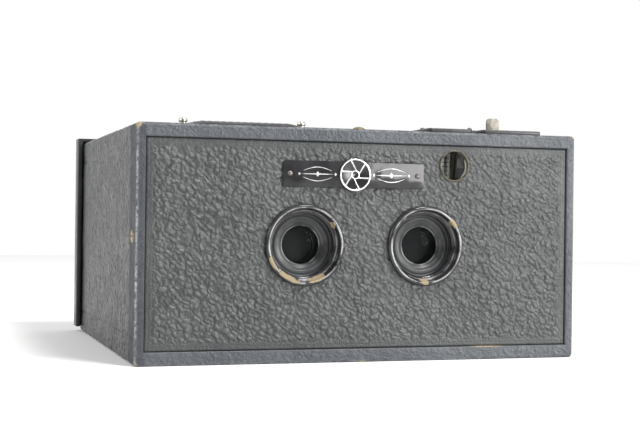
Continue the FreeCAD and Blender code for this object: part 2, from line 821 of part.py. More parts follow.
def handle():
    """A flat leather strap held up by two headed studs."""
    reach = "strap_stud_spread + strap_overhang"
    half = "strap_width / 2"
    tip = "strap_width / 4"
    outline = [
        ("-(%s)" % reach, "-" + tip), ("-strap_stud_spread", "-" + half), ("strap_stud_spread", "-" + half),
        (reach, "-" + tip), (reach, tip), ("strap_stud_spread", half),
        ("-strap_stud_spread", half), ("-(%s)" % reach, tip),
    ]
    y = behind("strap_setback")
    holes = [(("%d * strap_stud_spread" % side, "0"), "stud_radius + fit_gap * 4") for side in (-1, 1)]
    at = ("strap_centre_x", y, "case_height + strap_lift")
    node(plate(outline, "strap_thickness", at, UPRIGHT, holes), "handle_strap")
    under_head = "stud_top_z - case_height - stud_head_height"
    stud = [
        ("0", "0"), ("stud_radius * 2", "0"), ("stud_radius * 2", "strap_lift - fit_gap * 3"),
        ("stud_radius", "strap_lift - fit_gap * 3"), ("stud_radius", under_head),
        ("stud_head_radius", under_head),
        ("stud_head_radius * 0.8", under_head + " + stud_head_height * 0.7"),
        ("0", "stud_top_z - case_height"),
    ]
    studs = [turned(stud, ("strap_centre_x + %d * strap_stud_spread" % side, y, "case_height"))
             for side in (-1, 1)]
    node(group(*studs), "handle_studs")


# Film transport.

def winding_key():
    """A knob on a shaft whose flat key enters the spool; it pulls up to let the spool out."""
    at = ("spool_x", SPOOL_Y, "0")
    chamfer = "knob_chamfer"
    knob = [
        ("shaft_radius", "knob_bottom_z"), ("knob_radius - " + chamfer, "knob_bottom_z"),
        ("knob_radius", "knob_bottom_z + " + chamfer), ("knob_radius", "knob_top_z - " + chamfer),
        ("knob_radius - " + chamfer, "knob_top_z"), ("shaft_radius", "knob_top_z"),
    ]
    node(turned(knob, at), "winding_knob")
    shaft = rod("shaft_radius", "knob_top_z - key_bottom_z", ("spool_x", SPOOL_Y, "key_bottom_z"))
    key = box(centred("spool_x", "key_half"), centred(SPOOL_Y, "key_thickness / 2"),
              ("key_bottom_z", "key_bottom_z + key_height"))
    node(fuse(shaft, key), "winding_shaft")
    collar_z = "key_bottom_z + key_height + fit_gap"
    collar = [
        ("shaft_radius + pivot_gap", collar_z), ("collar_radius", collar_z),
        ("collar_radius", collar_z + " + collar_height"),
        ("shaft_radius + pivot_gap", collar_z + " + collar_height"),
    ]
    node(turned(collar, at), "key_collar")
    washer = [
        ("shaft_radius + fit_gap", "case_height"), ("knob_plate_radius", "case_height"),
        ("knob_plate_radius", "case_height + knob_plate_height"),
        ("shaft_radius + fit_gap", "case_height + knob_plate_height"),
    ]
    node(turned(washer, at), "knob_plate")


def take_up_spool():
    half = "spool_half_length"
    neck = "spool_half_length - spool_flange"
    profile = [
        ("spool_bore", "-" + half), ("spool_flange_radius", "-" + half),
        ("spool_flange_radius", "-(%s)" % neck), ("spool_core_radius", "-(%s)" % neck),
        ("spool_core_radius", neck), ("spool_flange_radius", neck),
        ("spool_flange_radius", half), ("spool_bore", half),
    ]
    middle = "case_height / 2"
    spool = turned(profile, ("spool_x", SPOOL_Y, middle))
    slots = [
        box(centred("spool_x", "key_slot_half"), centred(SPOOL_Y, "key_slot_width / 2"), span)
        for span in (
            ("%s + %s - key_slot_depth" % (middle, half), "%s + %s + 1" % (middle, half)),
            ("%s - %s - 1" % (middle, half), "%s - %s + key_slot_depth" % (middle, half)),
        )
    ]
    node(cut(spool, *slots), "take_up_spool")


def spool_pins():
    """The fixed pins that the spools turn on: one under the take-up spool and two in the supply bay."""
    low = "top_wall"
    high = INNER_TOP + " - spool_pin_length"
    places = [("spool_x", low), ("-spool_x", low), ("-spool_x", high)]
    pins = [rod("spool_pin_radius", "spool_pin_length", (x, SPOOL_Y, z)) for x, z in places]
    node(group(*pins), "spool_pins")


def image_chambers():
    """Two picture chambers side by side, from the stop plate to the film gate, notched round the finder."""
    front = behind(STOP_BACK)
    rear = behind("gate_setback")
    height = "case_height - 2 * top_wall"
    node(box(centred("0", "septum_thickness / 2"), (front, rear), ("top_wall", INNER_TOP)), "septum")
    gap = "finder_width / 2 + fit_gap"
    clearance = box(centred("finder_x", gap),
                    (front + " - 1", behind(PANEL_BACK) + " + finder_depth + fit_gap"),
                    ("finder_floor_z - fit_gap", INNER_TOP + " + 1"))
    walls = []
    for side in (-1, 1):
        outline = [
            ("%d * chamber_front" % side, front), ("%d * (chamber_front + chamber_wall)" % side, front),
            ("%d * (chamber_rear + chamber_wall)" % side, rear), ("%d * chamber_rear" % side, rear),
        ]
        walls.append(plate(outline, height, ("0", "0", "top_wall")))
    node(group(walls[0], cut(walls[1], clearance)), "chamber_walls")
    windows = [
        rectangle(side_span(side, "picture_inset", "picture_inset + picture_width"),
                  centred("case_height / 2", "picture_height / 2"))
        for side in (-1, 1)
    ]
    gate = rectangle(centred("0", "gate_half_width"), ("top_wall", INNER_TOP))
    node(plate(gate, "gate_thickness", ("0", behind(GATE_BACK), "0"), FACING_FRONT, windows=windows),
         "film_gate")


def guide_rollers():
    y = behind("gate_setback + gate_thickness - roller_radius")
    low = "top_wall + roller_end_gap"
    high = INNER_TOP + " - roller_end_gap"
    tip = "roller_end_gap - fit_gap * 4"
    profile = [
        ("0", "%s - (%s)" % (low, tip)), ("roller_journal", "%s - (%s)" % (low, tip)),
        ("roller_journal", low),
        ("roller_radius", low), ("roller_radius", high), ("roller_journal", high),
        ("roller_journal", "%s + %s" % (high, tip)), ("0", "%s + %s" % (high, tip)),
    ]
    brackets = []
    for label, side in (("left_guide_roller", -1), ("right_guide_roller", 1)):
        x = "%d * roller_x" % side
        node(turned(profile, (x, y, "0")), label)
        outline = rectangle(centred("0", "bracket_half"), centred("0", "bracket_half"))
        holes = [(("0", "0"), "roller_journal + pivot_gap")]
        for z in ("top_wall", INNER_TOP + " - bracket_thickness"):
            brackets.append(plate(outline, "bracket_thickness", (x, y, z), UPRIGHT, holes))
    node(group(*brackets), "roller_brackets")


# Back door.

def back_door():
    """A lid: a board with lips that lap over the case's sides and top, hinged along the bottom."""
    outer_x = "case_width / 2 + lip_gap + lip_thickness"
    outer_top = "case_height + lip_gap + top_lip_thickness"
    tray = box(centred("0", outer_x), ("rear_y - lip_overlap", DOOR_SKIN_Y), ("door_bottom_z", outer_top))
    hollow = box(centred("0", "case_width / 2 + lip_gap"), ("rear_y - lip_overlap - 1", "rear_y"),
                 ("door_bottom_z - 1", "case_height + lip_gap"))
    pocket = box(centred("0", "hinge_half_length + knuckle_gap"),
                 ("rear_y - 1", "rear_y + hinge_radius + fit_gap"),
                 ("door_bottom_z - 1", "hinge_z + leaf_length"))
    hole = rod("red_window_radius + fit_gap", "door_thickness * 3", ("0", "rear_y - 1", "red_window_z"),
               RUNNING_BACK)
    node(cut(tray, hollow, pocket, hole), "back_door")
    skin = rectangle(centred("0", outer_x), ("door_bottom_z", outer_top))
    holes = [(("0", "red_window_z"), "red_window_radius + fit_gap")]
    node(plate(skin, "cover_thickness", ("0", "rear_y + door_thickness", "0"), FACING_FRONT, holes),
         "door_covering")
    pane_at = ("0", "rear_y + window_pane", "red_window_z")
    node(rod("red_window_radius", "window_pane", pane_at, RUNNING_BACK), "red_window")
    ring = [
        ("red_window_radius - fit_gap * 6", "0"), ("window_ring_radius", "0"),
        ("window_ring_radius - fit_gap * 6", "window_ring_proud"),
        ("red_window_radius - fit_gap * 6", "window_ring_proud"),
    ]
    node(turned(ring, ("0", "rear_y + door_thickness", "red_window_z"), RUNNING_BACK), "window_ring")
    pad = rectangle(centred("0", "pad_half_width"), ("pad_bottom_z", "pad_top_z"))
    node(plate(pad, "pad_thickness", ("0", "rear_y", "0"), FACING_FRONT,
               [(("0", "red_window_z"), "red_window_radius")]), "pressure_plate")


def hinge():
    """A butt hinge along the case's bottom rear edge: two leaves, three knuckles and a pin."""
    bore = rod("hinge_pin_radius + pivot_gap", "hinge_half_length * 2 + 2",
               ("-hinge_half_length - 1", "rear_y", "hinge_z"), RUNNING_RIGHT)
    underside = "hinge_z - hinge_radius"
    leaf_z = (underside, underside + " + leaf_thickness")
    clear = "rear_y - hinge_radius - knuckle_gap"
    pieces = [box(centred("0", "hinge_half_length"), ("rear_y - leaf_length", clear), leaf_z)]
    near = "knuckle_half_length + knuckle_gap"
    for side in (-1, 1):
        span = side_span(side, near, "hinge_half_length")
        pieces.append(box(span, (clear, "rear_y"), leaf_z))
        pieces.append(rod("hinge_radius", "hinge_half_length - (%s)" % near, (span[0], "rear_y", "hinge_z"),
                          RUNNING_RIGHT))
    node(cut(fuse(*pieces), bore), "case_hinge_leaf")
    outside = "rear_y + hinge_radius"
    leaf_y = (outside + " - leaf_thickness", outside)
    leaf_foot = "hinge_z + hinge_radius + knuckle_gap"
    moving = [
        box(centred("0", "hinge_half_length"), leaf_y, (leaf_foot, "hinge_z + leaf_length")),
        box(centred("0", "knuckle_half_length"), leaf_y, ("hinge_z", leaf_foot)),
        rod("hinge_radius", "knuckle_half_length * 2", ("-knuckle_half_length", "rear_y", "hinge_z"),
            RUNNING_RIGHT),
    ]
    node(cut(fuse(*moving), bore), "door_hinge_leaf")
    node(rod("hinge_pin_radius", "hinge_half_length * 2", ("-hinge_half_length", "rear_y", "hinge_z"),
             RUNNING_RIGHT), "hinge_pin")


def latch():
    """A hook that turns on the case's top and catches a stud on the door; it rests turned aside."""
    y = behind("latch_setback")
    wide = "latch_half_width"
    far = "latch_reach + latch_hook_radius"
    notch = "latch_stud_radius + fit_gap * 6"
    outline = [
        ("-" + wide, "-latch_hook_radius"), (wide, "-latch_hook_radius"),
        ("latch_hook_radius", "latch_reach"), ("latch_hook_radius", far), ("-" + wide, far),
        ("-" + wide, "latch_reach + latch_stud_radius + fit_gap * 4"),
        (notch, "latch_reach + latch_stud_radius + fit_gap * 4"),
        (notch, "latch_reach - (%s)" % notch), ("-" + wide, "latch_reach - (%s)" % notch),
    ]
    aside = FreeCAD.Rotation(V(0, 0, 1), -size("latch_rest_angle"))
    holes = [(("0", "0"), "stud_radius + pivot_gap")]
    node(plate(outline, "latch_thickness", ("0", y, "latch_z"), aside, holes), "door_latch")
    base = "latch_z - case_height - fit_gap * 3"
    neck = "latch_z + latch_thickness + fit_gap * 3 - case_height"
    pivot = [
        ("0", "0"), ("stud_radius * 2", "0"), ("stud_radius * 2", base), ("stud_radius", base),
        ("stud_radius", neck), ("stud_head_radius", neck),
        ("stud_head_radius", neck + " + latch_thickness * 0.6"),
        ("0", neck + " + latch_thickness"),
    ]
    node(turned(pivot, ("0", y, "case_height")), "latch_pivot")
    lip_top = "case_height + lip_gap + top_lip_thickness"
    node(rod("latch_stud_radius", "latch_stud_top_z - (%s)" % lip_top,
             ("0", "%s + latch_reach" % y, lip_top)), "latch_stud")


case_boards()
coverings()
front_rim()
front_panel()
front_battens()
frame_screws()
name_plate()
lenses()
bulkhead("shutter_plate", PLATE_BACK, "shutter_hole")
bulkhead("stop_plate", STOP_BACK, "stop_radius")
shutter_posts()
shutter_blades()
shutter_bar()
release_lever()
shutter_spring()
finder()
top_plates()
handle()
winding_key()
take_up_spool()
spool_pins()
image_chambers()
guide_rollers()
back_door()
hinge()
latch()
document.recompute()

for item in document.Objects:
    if "Invalid" in item.State or "Error" in item.State:
        raise RuntimeError("%s failed: %s" % (item.Label, item.State))
for item in nodes:
    if item.Shape.isNull() or not item.Shape.isValid() or not item.Shape.Solids:
        raise RuntimeError("%s has no valid solid" % item.Label)

os.makedirs("parts", exist_ok=True)
for item in nodes:
    item.Shape.exportStep(os.path.join("parts", item.Label + ".step"))
    print("%-20s %d solid(s) %9.1f mm3" % (item.Label, len(item.Shape.Solids), item.Shape.Volume))
print(len(nodes), "sub-parts")
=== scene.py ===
import itertools
import json
import math

import bmesh
import bpy
import numpy as np
from mathutils import Matrix, Vector

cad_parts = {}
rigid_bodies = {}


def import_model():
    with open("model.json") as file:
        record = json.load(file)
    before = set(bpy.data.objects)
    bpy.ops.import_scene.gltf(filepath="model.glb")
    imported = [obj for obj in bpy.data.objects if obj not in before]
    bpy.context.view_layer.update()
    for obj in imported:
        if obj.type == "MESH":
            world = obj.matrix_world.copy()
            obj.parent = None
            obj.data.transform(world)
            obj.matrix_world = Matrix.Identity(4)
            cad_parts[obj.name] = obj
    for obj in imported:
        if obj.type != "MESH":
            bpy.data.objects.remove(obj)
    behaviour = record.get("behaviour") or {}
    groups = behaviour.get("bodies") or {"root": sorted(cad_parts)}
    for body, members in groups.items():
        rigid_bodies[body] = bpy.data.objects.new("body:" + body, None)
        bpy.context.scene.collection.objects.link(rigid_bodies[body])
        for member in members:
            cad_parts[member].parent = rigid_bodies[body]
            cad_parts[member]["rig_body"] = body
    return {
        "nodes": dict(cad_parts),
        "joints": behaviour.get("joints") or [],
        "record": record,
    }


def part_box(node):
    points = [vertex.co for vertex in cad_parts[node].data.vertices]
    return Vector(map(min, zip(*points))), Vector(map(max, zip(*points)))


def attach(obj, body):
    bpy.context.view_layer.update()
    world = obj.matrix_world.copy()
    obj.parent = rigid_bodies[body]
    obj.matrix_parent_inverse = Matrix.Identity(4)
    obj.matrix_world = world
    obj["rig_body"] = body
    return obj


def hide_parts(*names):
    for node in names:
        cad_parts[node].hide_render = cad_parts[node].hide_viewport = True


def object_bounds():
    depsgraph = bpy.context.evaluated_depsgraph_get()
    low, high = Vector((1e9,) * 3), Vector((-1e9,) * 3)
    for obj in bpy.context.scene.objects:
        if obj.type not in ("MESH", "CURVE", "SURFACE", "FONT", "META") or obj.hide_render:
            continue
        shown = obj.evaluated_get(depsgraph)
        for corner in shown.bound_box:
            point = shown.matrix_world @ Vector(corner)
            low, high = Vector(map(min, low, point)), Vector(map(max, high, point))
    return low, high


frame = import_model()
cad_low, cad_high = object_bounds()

# Looks for a box-form stereo camera. Metres; X to the viewer's right, Y from the lenses to the back, Z up.

MM = 0.001
GRAIN_DEPTH = 0.40 * MM
LATTICE = np.random.default_rng(11).random((64, 64, 64, 4))

scene = bpy.context.scene
scene.view_settings.view_transform = "Standard"
scene.view_settings.look = "None"

joints = {joint["name"]: joint for joint in frame["joints"]}
LEFT, RIGHT = -1, 1


# ---------------------------------------------------------------- Fields over points in space

def smooth_noise(points, cell, channel=0):
    """Value noise from 0 to 1 with features of about the cell's size."""
    place = points / cell
    base = np.floor(place).astype(int)
    part = place - base
    part = part * part * (3 - 2 * part)
    total = np.zeros(len(points))
    for corner in itertools.product((0, 1), repeat=3):
        weight = np.ones(len(points))
        for axis in range(3):
            weight *= part[:, axis] if corner[axis] else 1 - part[:, axis]
        index = (base + corner) & 63
        total += weight * LATTICE[index[:, 0], index[:, 1], index[:, 2], channel]
    return total


def grain_axes():
    """Rows that turn metres into grain cells, which are longer along a slant."""
    long_way = Vector((0.72, 0.35, -0.60)).normalized()
    across = long_way.cross(Vector((0, 1, 0))).normalized()
    third = long_way.cross(across)
    return np.array([long_way / (2.3 * MM), across / (1.45 * MM), third / (1.7 * MM)])


GRAIN_AXES = grain_axes()


def grain(points):
    """Height of the embossed grain, from 0 in a crease to 1 on a crest."""
    warp = np.stack([smooth_noise(points, 1.9 * MM, channel) for channel in range(3)], axis=1) - 0.5
    place = (points + warp * 1.5 * MM) @ GRAIN_AXES.T
    base = np.floor(place).astype(int)
    near = np.full(len(points), 9.0)
    second = np.full(len(points), 9.0)
    lift = np.zeros(len(points))
    for offset in itertools.product((-1, 0, 1), repeat=3):
        cell = base + offset
        index = cell & 63
        seed = LATTICE[index[:, 0], index[:, 1], index[:, 2]]
        distance = np.linalg.norm(cell + 0.1 + 0.8 * seed[:, :3] - place, axis=1)
        closer = distance < near
        second = np.where(closer, near, np.minimum(second, distance))
        lift = np.where(closer, seed[:, 3], lift)
        near = np.where(closer, distance, near)
    bulge = np.clip((second - near) / 0.8, 0, 1)
    bulge = 0.45 * bulge * (2 - bulge) + 0.55 * np.clip(1 - (near / 0.85) ** 2, 0, 1)
    swell = smooth_noise(points, 1.5 * MM, 2)
    fine = smooth_noise(points, 0.7 * MM, 3)
    height = bulge * (0.4 + 0.6 * lift) * 0.75 + swell * 0.45 + fine * 0.22
    return np.clip((height - 0.22) / 0.80, 0, 1)


def fade(distance, reach):
    """1 at no distance, easing to 0 at the reach."""
    part = np.clip(1 - np.abs(distance) / reach, 0, 1)
    return part * part * (3 - 2 * part)


# ---------------------------------------------------------------- Meshes

def link_mesh(name, vertices, faces, sharp_degrees=40):
    mesh = bpy.data.meshes.new(name)
    mesh.from_pydata(np.asarray(vertices, float).tolist(), [], faces)
    piece = bpy.data.objects.new(name, mesh)
    scene.collection.objects.link(piece)
    smooth(piece, sharp_degrees)
    return piece


def smooth(piece, sharp_degrees):
    mesh = piece.data
    mesh.polygons.foreach_set("use_smooth", np.ones(len(mesh.polygons), bool))
    mesh.set_sharp_from_angle(angle=math.radians(sharp_degrees))
    mesh.update()


def coordinates(piece):
    flat = np.zeros(len(piece.data.vertices) * 3, np.float32)
    piece.data.vertices.foreach_get("co", flat)
    return flat.reshape(-1, 3).astype(float)


def paint(piece, name, values):
    """Stores a value from 0 to 1 at each vertex, for the materials to read."""
    layer = piece.data.attributes.new(name, "FLOAT", "POINT")
    layer.data.foreach_set("value", np.clip(values, 0, 1).astype(np.float32))


def applied(piece):
    """Replaces the piece's mesh with what its modifiers make of it."""
    graph = bpy.context.evaluated_depsgraph_get()
    graph.update()
    made = bpy.data.meshes.new_from_object(piece.evaluated_get(graph))
    piece.modifiers.clear()
    piece.data = made
    return piece


def block(low, high, name="block"):
    xs, ys, zs = zip(low, high)
    corners = [(x, y, z) for x in xs for y in ys for z in zs]
    faces = [(0, 1, 3, 2), (4, 6, 7, 5), (0, 4, 5, 1), (2, 3, 7, 6), (0, 2, 6, 4), (1, 5, 7, 3)]
    return link_mesh(name, corners, faces)


def carved(piece, cutters):
    """The piece less each closed cutter; the cutters are used up."""
    for cutter in cutters:
        change = piece.modifiers.new("cut", "BOOLEAN")
        change.operation = "DIFFERENCE"
        change.solver = "MANIFOLD"
        change.object = cutter
    applied(piece)
    for cutter in cutters:
        bpy.data.objects.remove(cutter)
    return piece


def eased(corners, radius, steps=3):
    """A closed outline with its corners rounded."""
    made = []
    count = len(corners)
    for index in range(count):
        before, here, after = (np.array(corners[(index + shift) % count], float) for shift in (-1, 0, 1))
        to_before, to_after = before - here, after - here
        reach = min(radius, 0.45 * np.linalg.norm(to_before), 0.45 * np.linalg.norm(to_after))
        start = here + to_before / max(np.linalg.norm(to_before), 1e-12) * reach
        end = here + to_after / max(np.linalg.norm(to_after), 1e-12) * reach
        for step in range(steps + 1):
            t = step / steps
            made.append((1 - t) ** 2 * start + 2 * t * (1 - t) * here + t * t * end)
    return made


def lathe(name, outline, centre, axis, segments=160, radial=None, sharp_degrees=40):
    """Turns a closed (radius, height) outline in millimetres round an axis through a centre in metres.

    radial(angle, radius, height) may return a change of radius in millimetres.
    """
    axis = Vector(axis).normalized()
    side = axis.orthogonal().normalized()
    other = axis.cross(side)
    angles = np.arange(segments) * 2 * math.pi / segments
    rings = []
    for radius, height in outline:
        reach = np.full(segments, max(radius, 0.0))
        if radial is not None and radius > 0:
            reach = reach + radial(angles, radius, height)
        ring = (np.outer(np.cos(angles) * reach, side) + np.outer(np.sin(angles) * reach, other)
                + np.array(axis) * height) * MM + np.array(centre)
        rings.append(ring)
    count = len(rings)
    off_axis = [max(outline[i][0], outline[(i + 1) % count][0]) > 1e-6 for i in range(count)]
    faces = [face for face in ring_faces(count, segments) if off_axis[face[0] // segments]]
    return mended(name, np.concatenate(rings), faces, sharp_degrees)


def ring_faces(rings, around, closed=True):
    """Faces between neighbouring rings of points, and from the last ring to the first if closed."""
    return [
        (i * around + k, i * around + (k + 1) % around,
         (i + 1) % rings * around + (k + 1) % around, (i + 1) % rings * around + k)
        for i in range(rings if closed else rings - 1) for k in range(around)
    ]


def mended(name, vertices, faces, sharp_degrees):
    """A piece with the points that lie together merged, no flat faces and every face turned outwards."""
    piece = link_mesh(name, vertices, faces, sharp_degrees)
    work = bmesh.new()
    work.from_mesh(piece.data)
    bmesh.ops.remove_doubles(work, verts=work.verts, dist=1e-7)
    bmesh.ops.dissolve_degenerate(work, dist=1e-8, edges=work.edges)
    bmesh.ops.recalc_face_normals(work, faces=work.faces)
    work.to_mesh(piece.data)
    work.free()
    smooth(piece, sharp_degrees)
    return piece


def prism(name, outline, height, place):
    """A flat piece from a closed outline in its own plane; place(u, v, w) gives the point in space."""
    count = len(outline)
    vertices = [place(u, v, 0) for u, v in outline] + [place(u, v, height) for u, v in outline]
    faces = [tuple(range(count)), tuple(range(2 * count - 1, count - 1, -1))]
    faces += [(i, i + count, (i + 1) % count + count, (i + 1) % count) for i in range(count)]
    return mended(name, vertices, faces, 30)


def joined(name, pieces):
    """One piece from several."""
    work = bmesh.new()
    for piece in pieces:
        work.from_mesh(piece.data)
        bpy.data.objects.remove(piece)
    mesh = bpy.data.meshes.new(name)
    work.to_mesh(mesh)
    work.free()
    made = bpy.data.objects.new(name, mesh)
    scene.collection.objects.link(made)
    return made


def islands(node):
    """(low, high) of each separate solid of a CAD node, from left to right."""
    work = bmesh.new()
    work.from_mesh(frame["nodes"][node].data)
    bmesh.ops.remove_doubles(work, verts=work.verts, dist=1e-6)
    left = set(work.verts)
    found = []
    while left:
        stack = [left.pop()]
        members = []
        while stack:
            vertex = stack.pop()
            members.append(vertex.co.copy())
            for edge in vertex.link_edges:
                other = edge.other_vert(vertex)
                if other in left:
                    left.remove(other)
                    stack.append(other)
        cloud = np.array(members)
        found.append((Vector(cloud.min(0)), Vector(cloud.max(0))))
    work.free()
    return sorted(found, key=lambda span: (round(span[0].x, 4), round(span[0].z, 4), span[0].y))


def middle(span):
    return (span[0] + span[1]) / 2


def put(piece, node, material):
    """The piece stands for a CAD node and rides on that node's body."""
    names = [node] if isinstance(node, str) else list(node)
    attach(piece, frame["nodes"][names[0]]["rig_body"])
    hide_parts(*names)
    piece.data.materials.clear()
    piece.data.materials.append(material)
    return piece


def detail(piece, slot, material, sharp_degrees):
    """A piece on the camera's body that has no CAD node of its own."""
    smooth(piece, sharp_degrees)
    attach(piece, "camera")
    piece.data.materials.append(material)


def eased_copy(node, width, material=None, name=None, picked=None):
    """A CAD node's shape with its hard edges eased, as pressed or filed metal and cut board have."""
    sharp_degrees = 38
    source = frame["nodes"][node]
    mesh = source.data.copy()
    piece = bpy.data.objects.new(name or node + "_eased", mesh)
    scene.collection.objects.link(piece)
    work = bmesh.new()
    work.from_mesh(mesh)
    bmesh.ops.remove_doubles(work, verts=work.verts, dist=2e-6)
    bmesh.ops.dissolve_limit(work, angle_limit=math.radians(0.6), verts=work.verts, edges=work.edges)
    if picked is not None:
        radius, test = picked
        chosen = [edge for edge in work.edges if test(*(vertex.co for vertex in edge.verts))]
        bmesh.ops.bevel(work, geom=chosen, offset=radius * MM, segments=6, affect="EDGES", profile=0.5)
    work.to_mesh(mesh)
    work.free()
    change = piece.modifiers.new("ease", "BEVEL")
    change.width = width * MM
    change.segments = 2
    change.limit_method = "ANGLE"
    change.angle_limit = math.radians(sharp_degrees)
    change.use_clamp_overlap = True
    applied(piece)
    smooth(piece, sharp_degrees)
    slot = node_slots[node]
    return put(piece, node, material or SLOT_LOOKS[slot])


# ---------------------------------------------------------------- Materials

class Finish:
    """A procedural material whose patterns are fixed to the piece."""

    def __init__(self, name, roughness, metallic=0.0, specular=0.5):
        self.material = bpy.data.materials.new(name)
        self.material.use_nodes = True
        self.tree = self.material.node_tree
        self.shader = self.tree.nodes["Principled BSDF"]
        self.shader.inputs["Roughness"].default_value = roughness
        self.shader.inputs["Metallic"].default_value = metallic
        self.shader.inputs["Specular IOR Level"].default_value = specular
        self.place = self.tree.nodes.new("ShaderNodeTexCoord").outputs["Object"]
        self.normal = None

    def node(self, kind, **values):
        made = self.tree.nodes.new(kind)
        for key, value in values.items():
            setattr(made, key, value)
        return made

    def wire(self, source, target):
        if isinstance(source, (int, float)):
            target.default_value = source
        elif isinstance(source, tuple):
            target.default_value = (*source, 1.0) if len(source) == 3 else source
        else:
            self.tree.links.new(source, target)

    def stretched(self, scale):
        made = self.node("ShaderNodeMapping")
        made.inputs["Scale"].default_value = scale
        self.wire(self.place, made.inputs["Vector"])
        return made.outputs["Vector"]

    def noise(self, feature, detail=4.0, rough=0.55, distortion=0.0, place=None):
        """Noise with features of about so many millimetres."""
        made = self.node("ShaderNodeTexNoise")
        made.inputs["Scale"].default_value = 1 / (feature * MM)
        made.inputs["Detail"].default_value = detail
        made.inputs["Roughness"].default_value = rough
        made.inputs["Distortion"].default_value = distortion
        self.wire(place or self.place, made.inputs["Vector"])
        return made.outputs["Fac"]

    def cells(self, feature):
        made = self.node("ShaderNodeTexVoronoi")
        made.inputs["Scale"].default_value = 1 / (feature * MM)
        self.wire(self.place, made.inputs["Vector"])
        return made.outputs["Distance"]

    def painted(self, name):
        made = self.node("ShaderNodeAttribute", attribute_name=name)
        return made.outputs["Fac"]

    def span(self, value, low, high, to_low=0.0, to_high=1.0):
        made = self.node("ShaderNodeMapRange", interpolation_type="SMOOTHSTEP")
        for key, number in zip(("From Min", "From Max", "To Min", "To Max"), (low, high, to_low, to_high)):
            made.inputs[key].default_value = number
        self.wire(value, made.inputs["Value"])
        return made.outputs["Result"]

    def patches(self, low, high, *pattern):
        """Smooth patches where the noise rises from low to high."""
        return self.span(self.noise(*pattern), low, high)

    def sum(self, kind, a, b):
        made = self.node("ShaderNodeMath", operation=kind)
        self.wire(a, made.inputs[0])
        self.wire(b, made.inputs[1])
        return made.outputs[0]

    def times(self, a, b):
        return self.sum("MULTIPLY", a, b)

    def mix(self, share, a, b):
        made = self.node("ShaderNodeMix", data_type="RGBA")
        self.wire(share, made.inputs[0])
        self.wire(a, made.inputs[6])
        self.wire(b, made.inputs[7])
        return made.outputs[2]

    def bump(self, height, strength, depth):
        """Adds relief of so many millimetres."""
        made = self.node("ShaderNodeBump")
        made.inputs["Strength"].default_value = strength
        made.inputs["Distance"].default_value = depth * MM
        self.wire(height, made.inputs["Height"])
        if self.normal is not None:
            self.wire(self.normal, made.inputs["Normal"])
        self.normal = made.outputs["Normal"]

    def done(self, color, roughness=None):
        self.wire(color, self.shader.inputs["Base Color"])
        if roughness is not None:
            self.wire(roughness, self.shader.inputs["Roughness"])
        if self.normal is not None:
            self.wire(self.normal, self.shader.inputs["Normal"])
        return self.material


def leatherette(name, dark, light, worn_and_crest_lit, roughness):
    """Embossed cloth: crests painted paler than the creases (partly rubbing, partly painted shade in the
    creases), pale scuffed edges that are partly painted highlight, and spots torn to the board.
    """
    look = Finish(name, roughness)
    drift = look.noise(26, 5, 0.6)
    speck = look.noise(0.55, 3, 0.6)
    base = look.mix(look.span(drift, 0.3, 0.7), dark, light)
    # Darker over the sides' front band and the rim's left bar, and painted shade on the rim's upward top
    # edge.
    base = look.mix(look.painted("band_and_painted_shade"), base, (0.017, 0.020, 0.027))
    # Crests paler than creases: partly rubbing, partly painted shade standing in for the grain's relief.
    base = look.mix(look.times(look.span(look.painted("crest"), 0.35, 0.95), 0.20), base, worn_and_crest_lit)
    base = look.mix(look.times(look.span(speck, 0.56, 0.75), 0.25), base, worn_and_crest_lit)
    # Pale rubbed colour along edges: wear, and on the left front corner partly a painted highlight.
    rubbed_and_highlight = look.times(look.painted("wear_and_highlight"), look.patches(0.36, 0.6, 1.3, 5, 0.7))
    base = look.mix(rubbed_and_highlight, base, (0.44, 0.45, 0.47))
    torn = look.span(look.times(look.painted("core"), look.noise(0.8, 4, 0.7)), 0.22, 0.34)
    base = look.mix(torn, base, (0.26, 0.215, 0.14))
    look.bump(look.painted("crest"), 1.0, 0.38)
    look.bump(look.noise(0.75, 3, 0.6), 0.9, 0.26)
    look.bump(look.noise(0.12, 2, 0.5), 0.35, 0.02)
    rough = look.span(look.noise(7, 4), 0.25, 0.75, roughness - 0.08, roughness + 0.1)
    rough = look.sum("ADD", rough, look.times(look.painted("band_and_painted_shade"), 0.22))
    return look.done(base, look.sum("ADD", rough, look.times(torn, 0.3)))


def enamel(name, color, low_rough, high_rough, wave=0.05, shine=0.5, under=(0.32, 0.255, 0.15)):
    """Gloss black over wood or metal, with fine handling marks and chips down to what is under it."""
    look = Finish(name, low_rough, 0.0, shine)
    chipped = look.span(look.times(look.painted("core"), look.noise(1.7, 5, 0.65, 0.6)), 0.30, 0.36)
    # Pale rubbed colour: wear, and along the lens rings' lip and hole edges partly a painted highlight.
    rubbed_and_highlight = look.times(look.painted("wear_and_highlight"), look.patches(0.36, 0.60, 4.5, 4, 0.6))
    tone = look.mix(look.patches(0.3, 0.7, 9, 5), color, tuple(c * 1.9 + 0.004 for c in color))
    tone = look.mix(rubbed_and_highlight, tone, (0.34, 0.34, 0.33))
    wood = look.mix(look.noise(0.5, 4), under, tuple(c * 0.45 for c in under))
    tone = look.mix(chipped, tone, wood)
    marks = look.noise(0.4, 3, 0.6, place=look.stretched((1, 0.25, 1)))
    look.bump(marks, 0.12, 0.02)
    look.bump(look.noise(3.5, 2), 0.25, 0.05)
    look.bump(look.noise(12, 2), 0.8, wave)
    rough = look.span(look.noise(4, 5, 0.6), 0.3, 0.75, low_rough, high_rough)
    return look.done(tone, look.sum("ADD", rough, look.times(chipped, 0.5)))


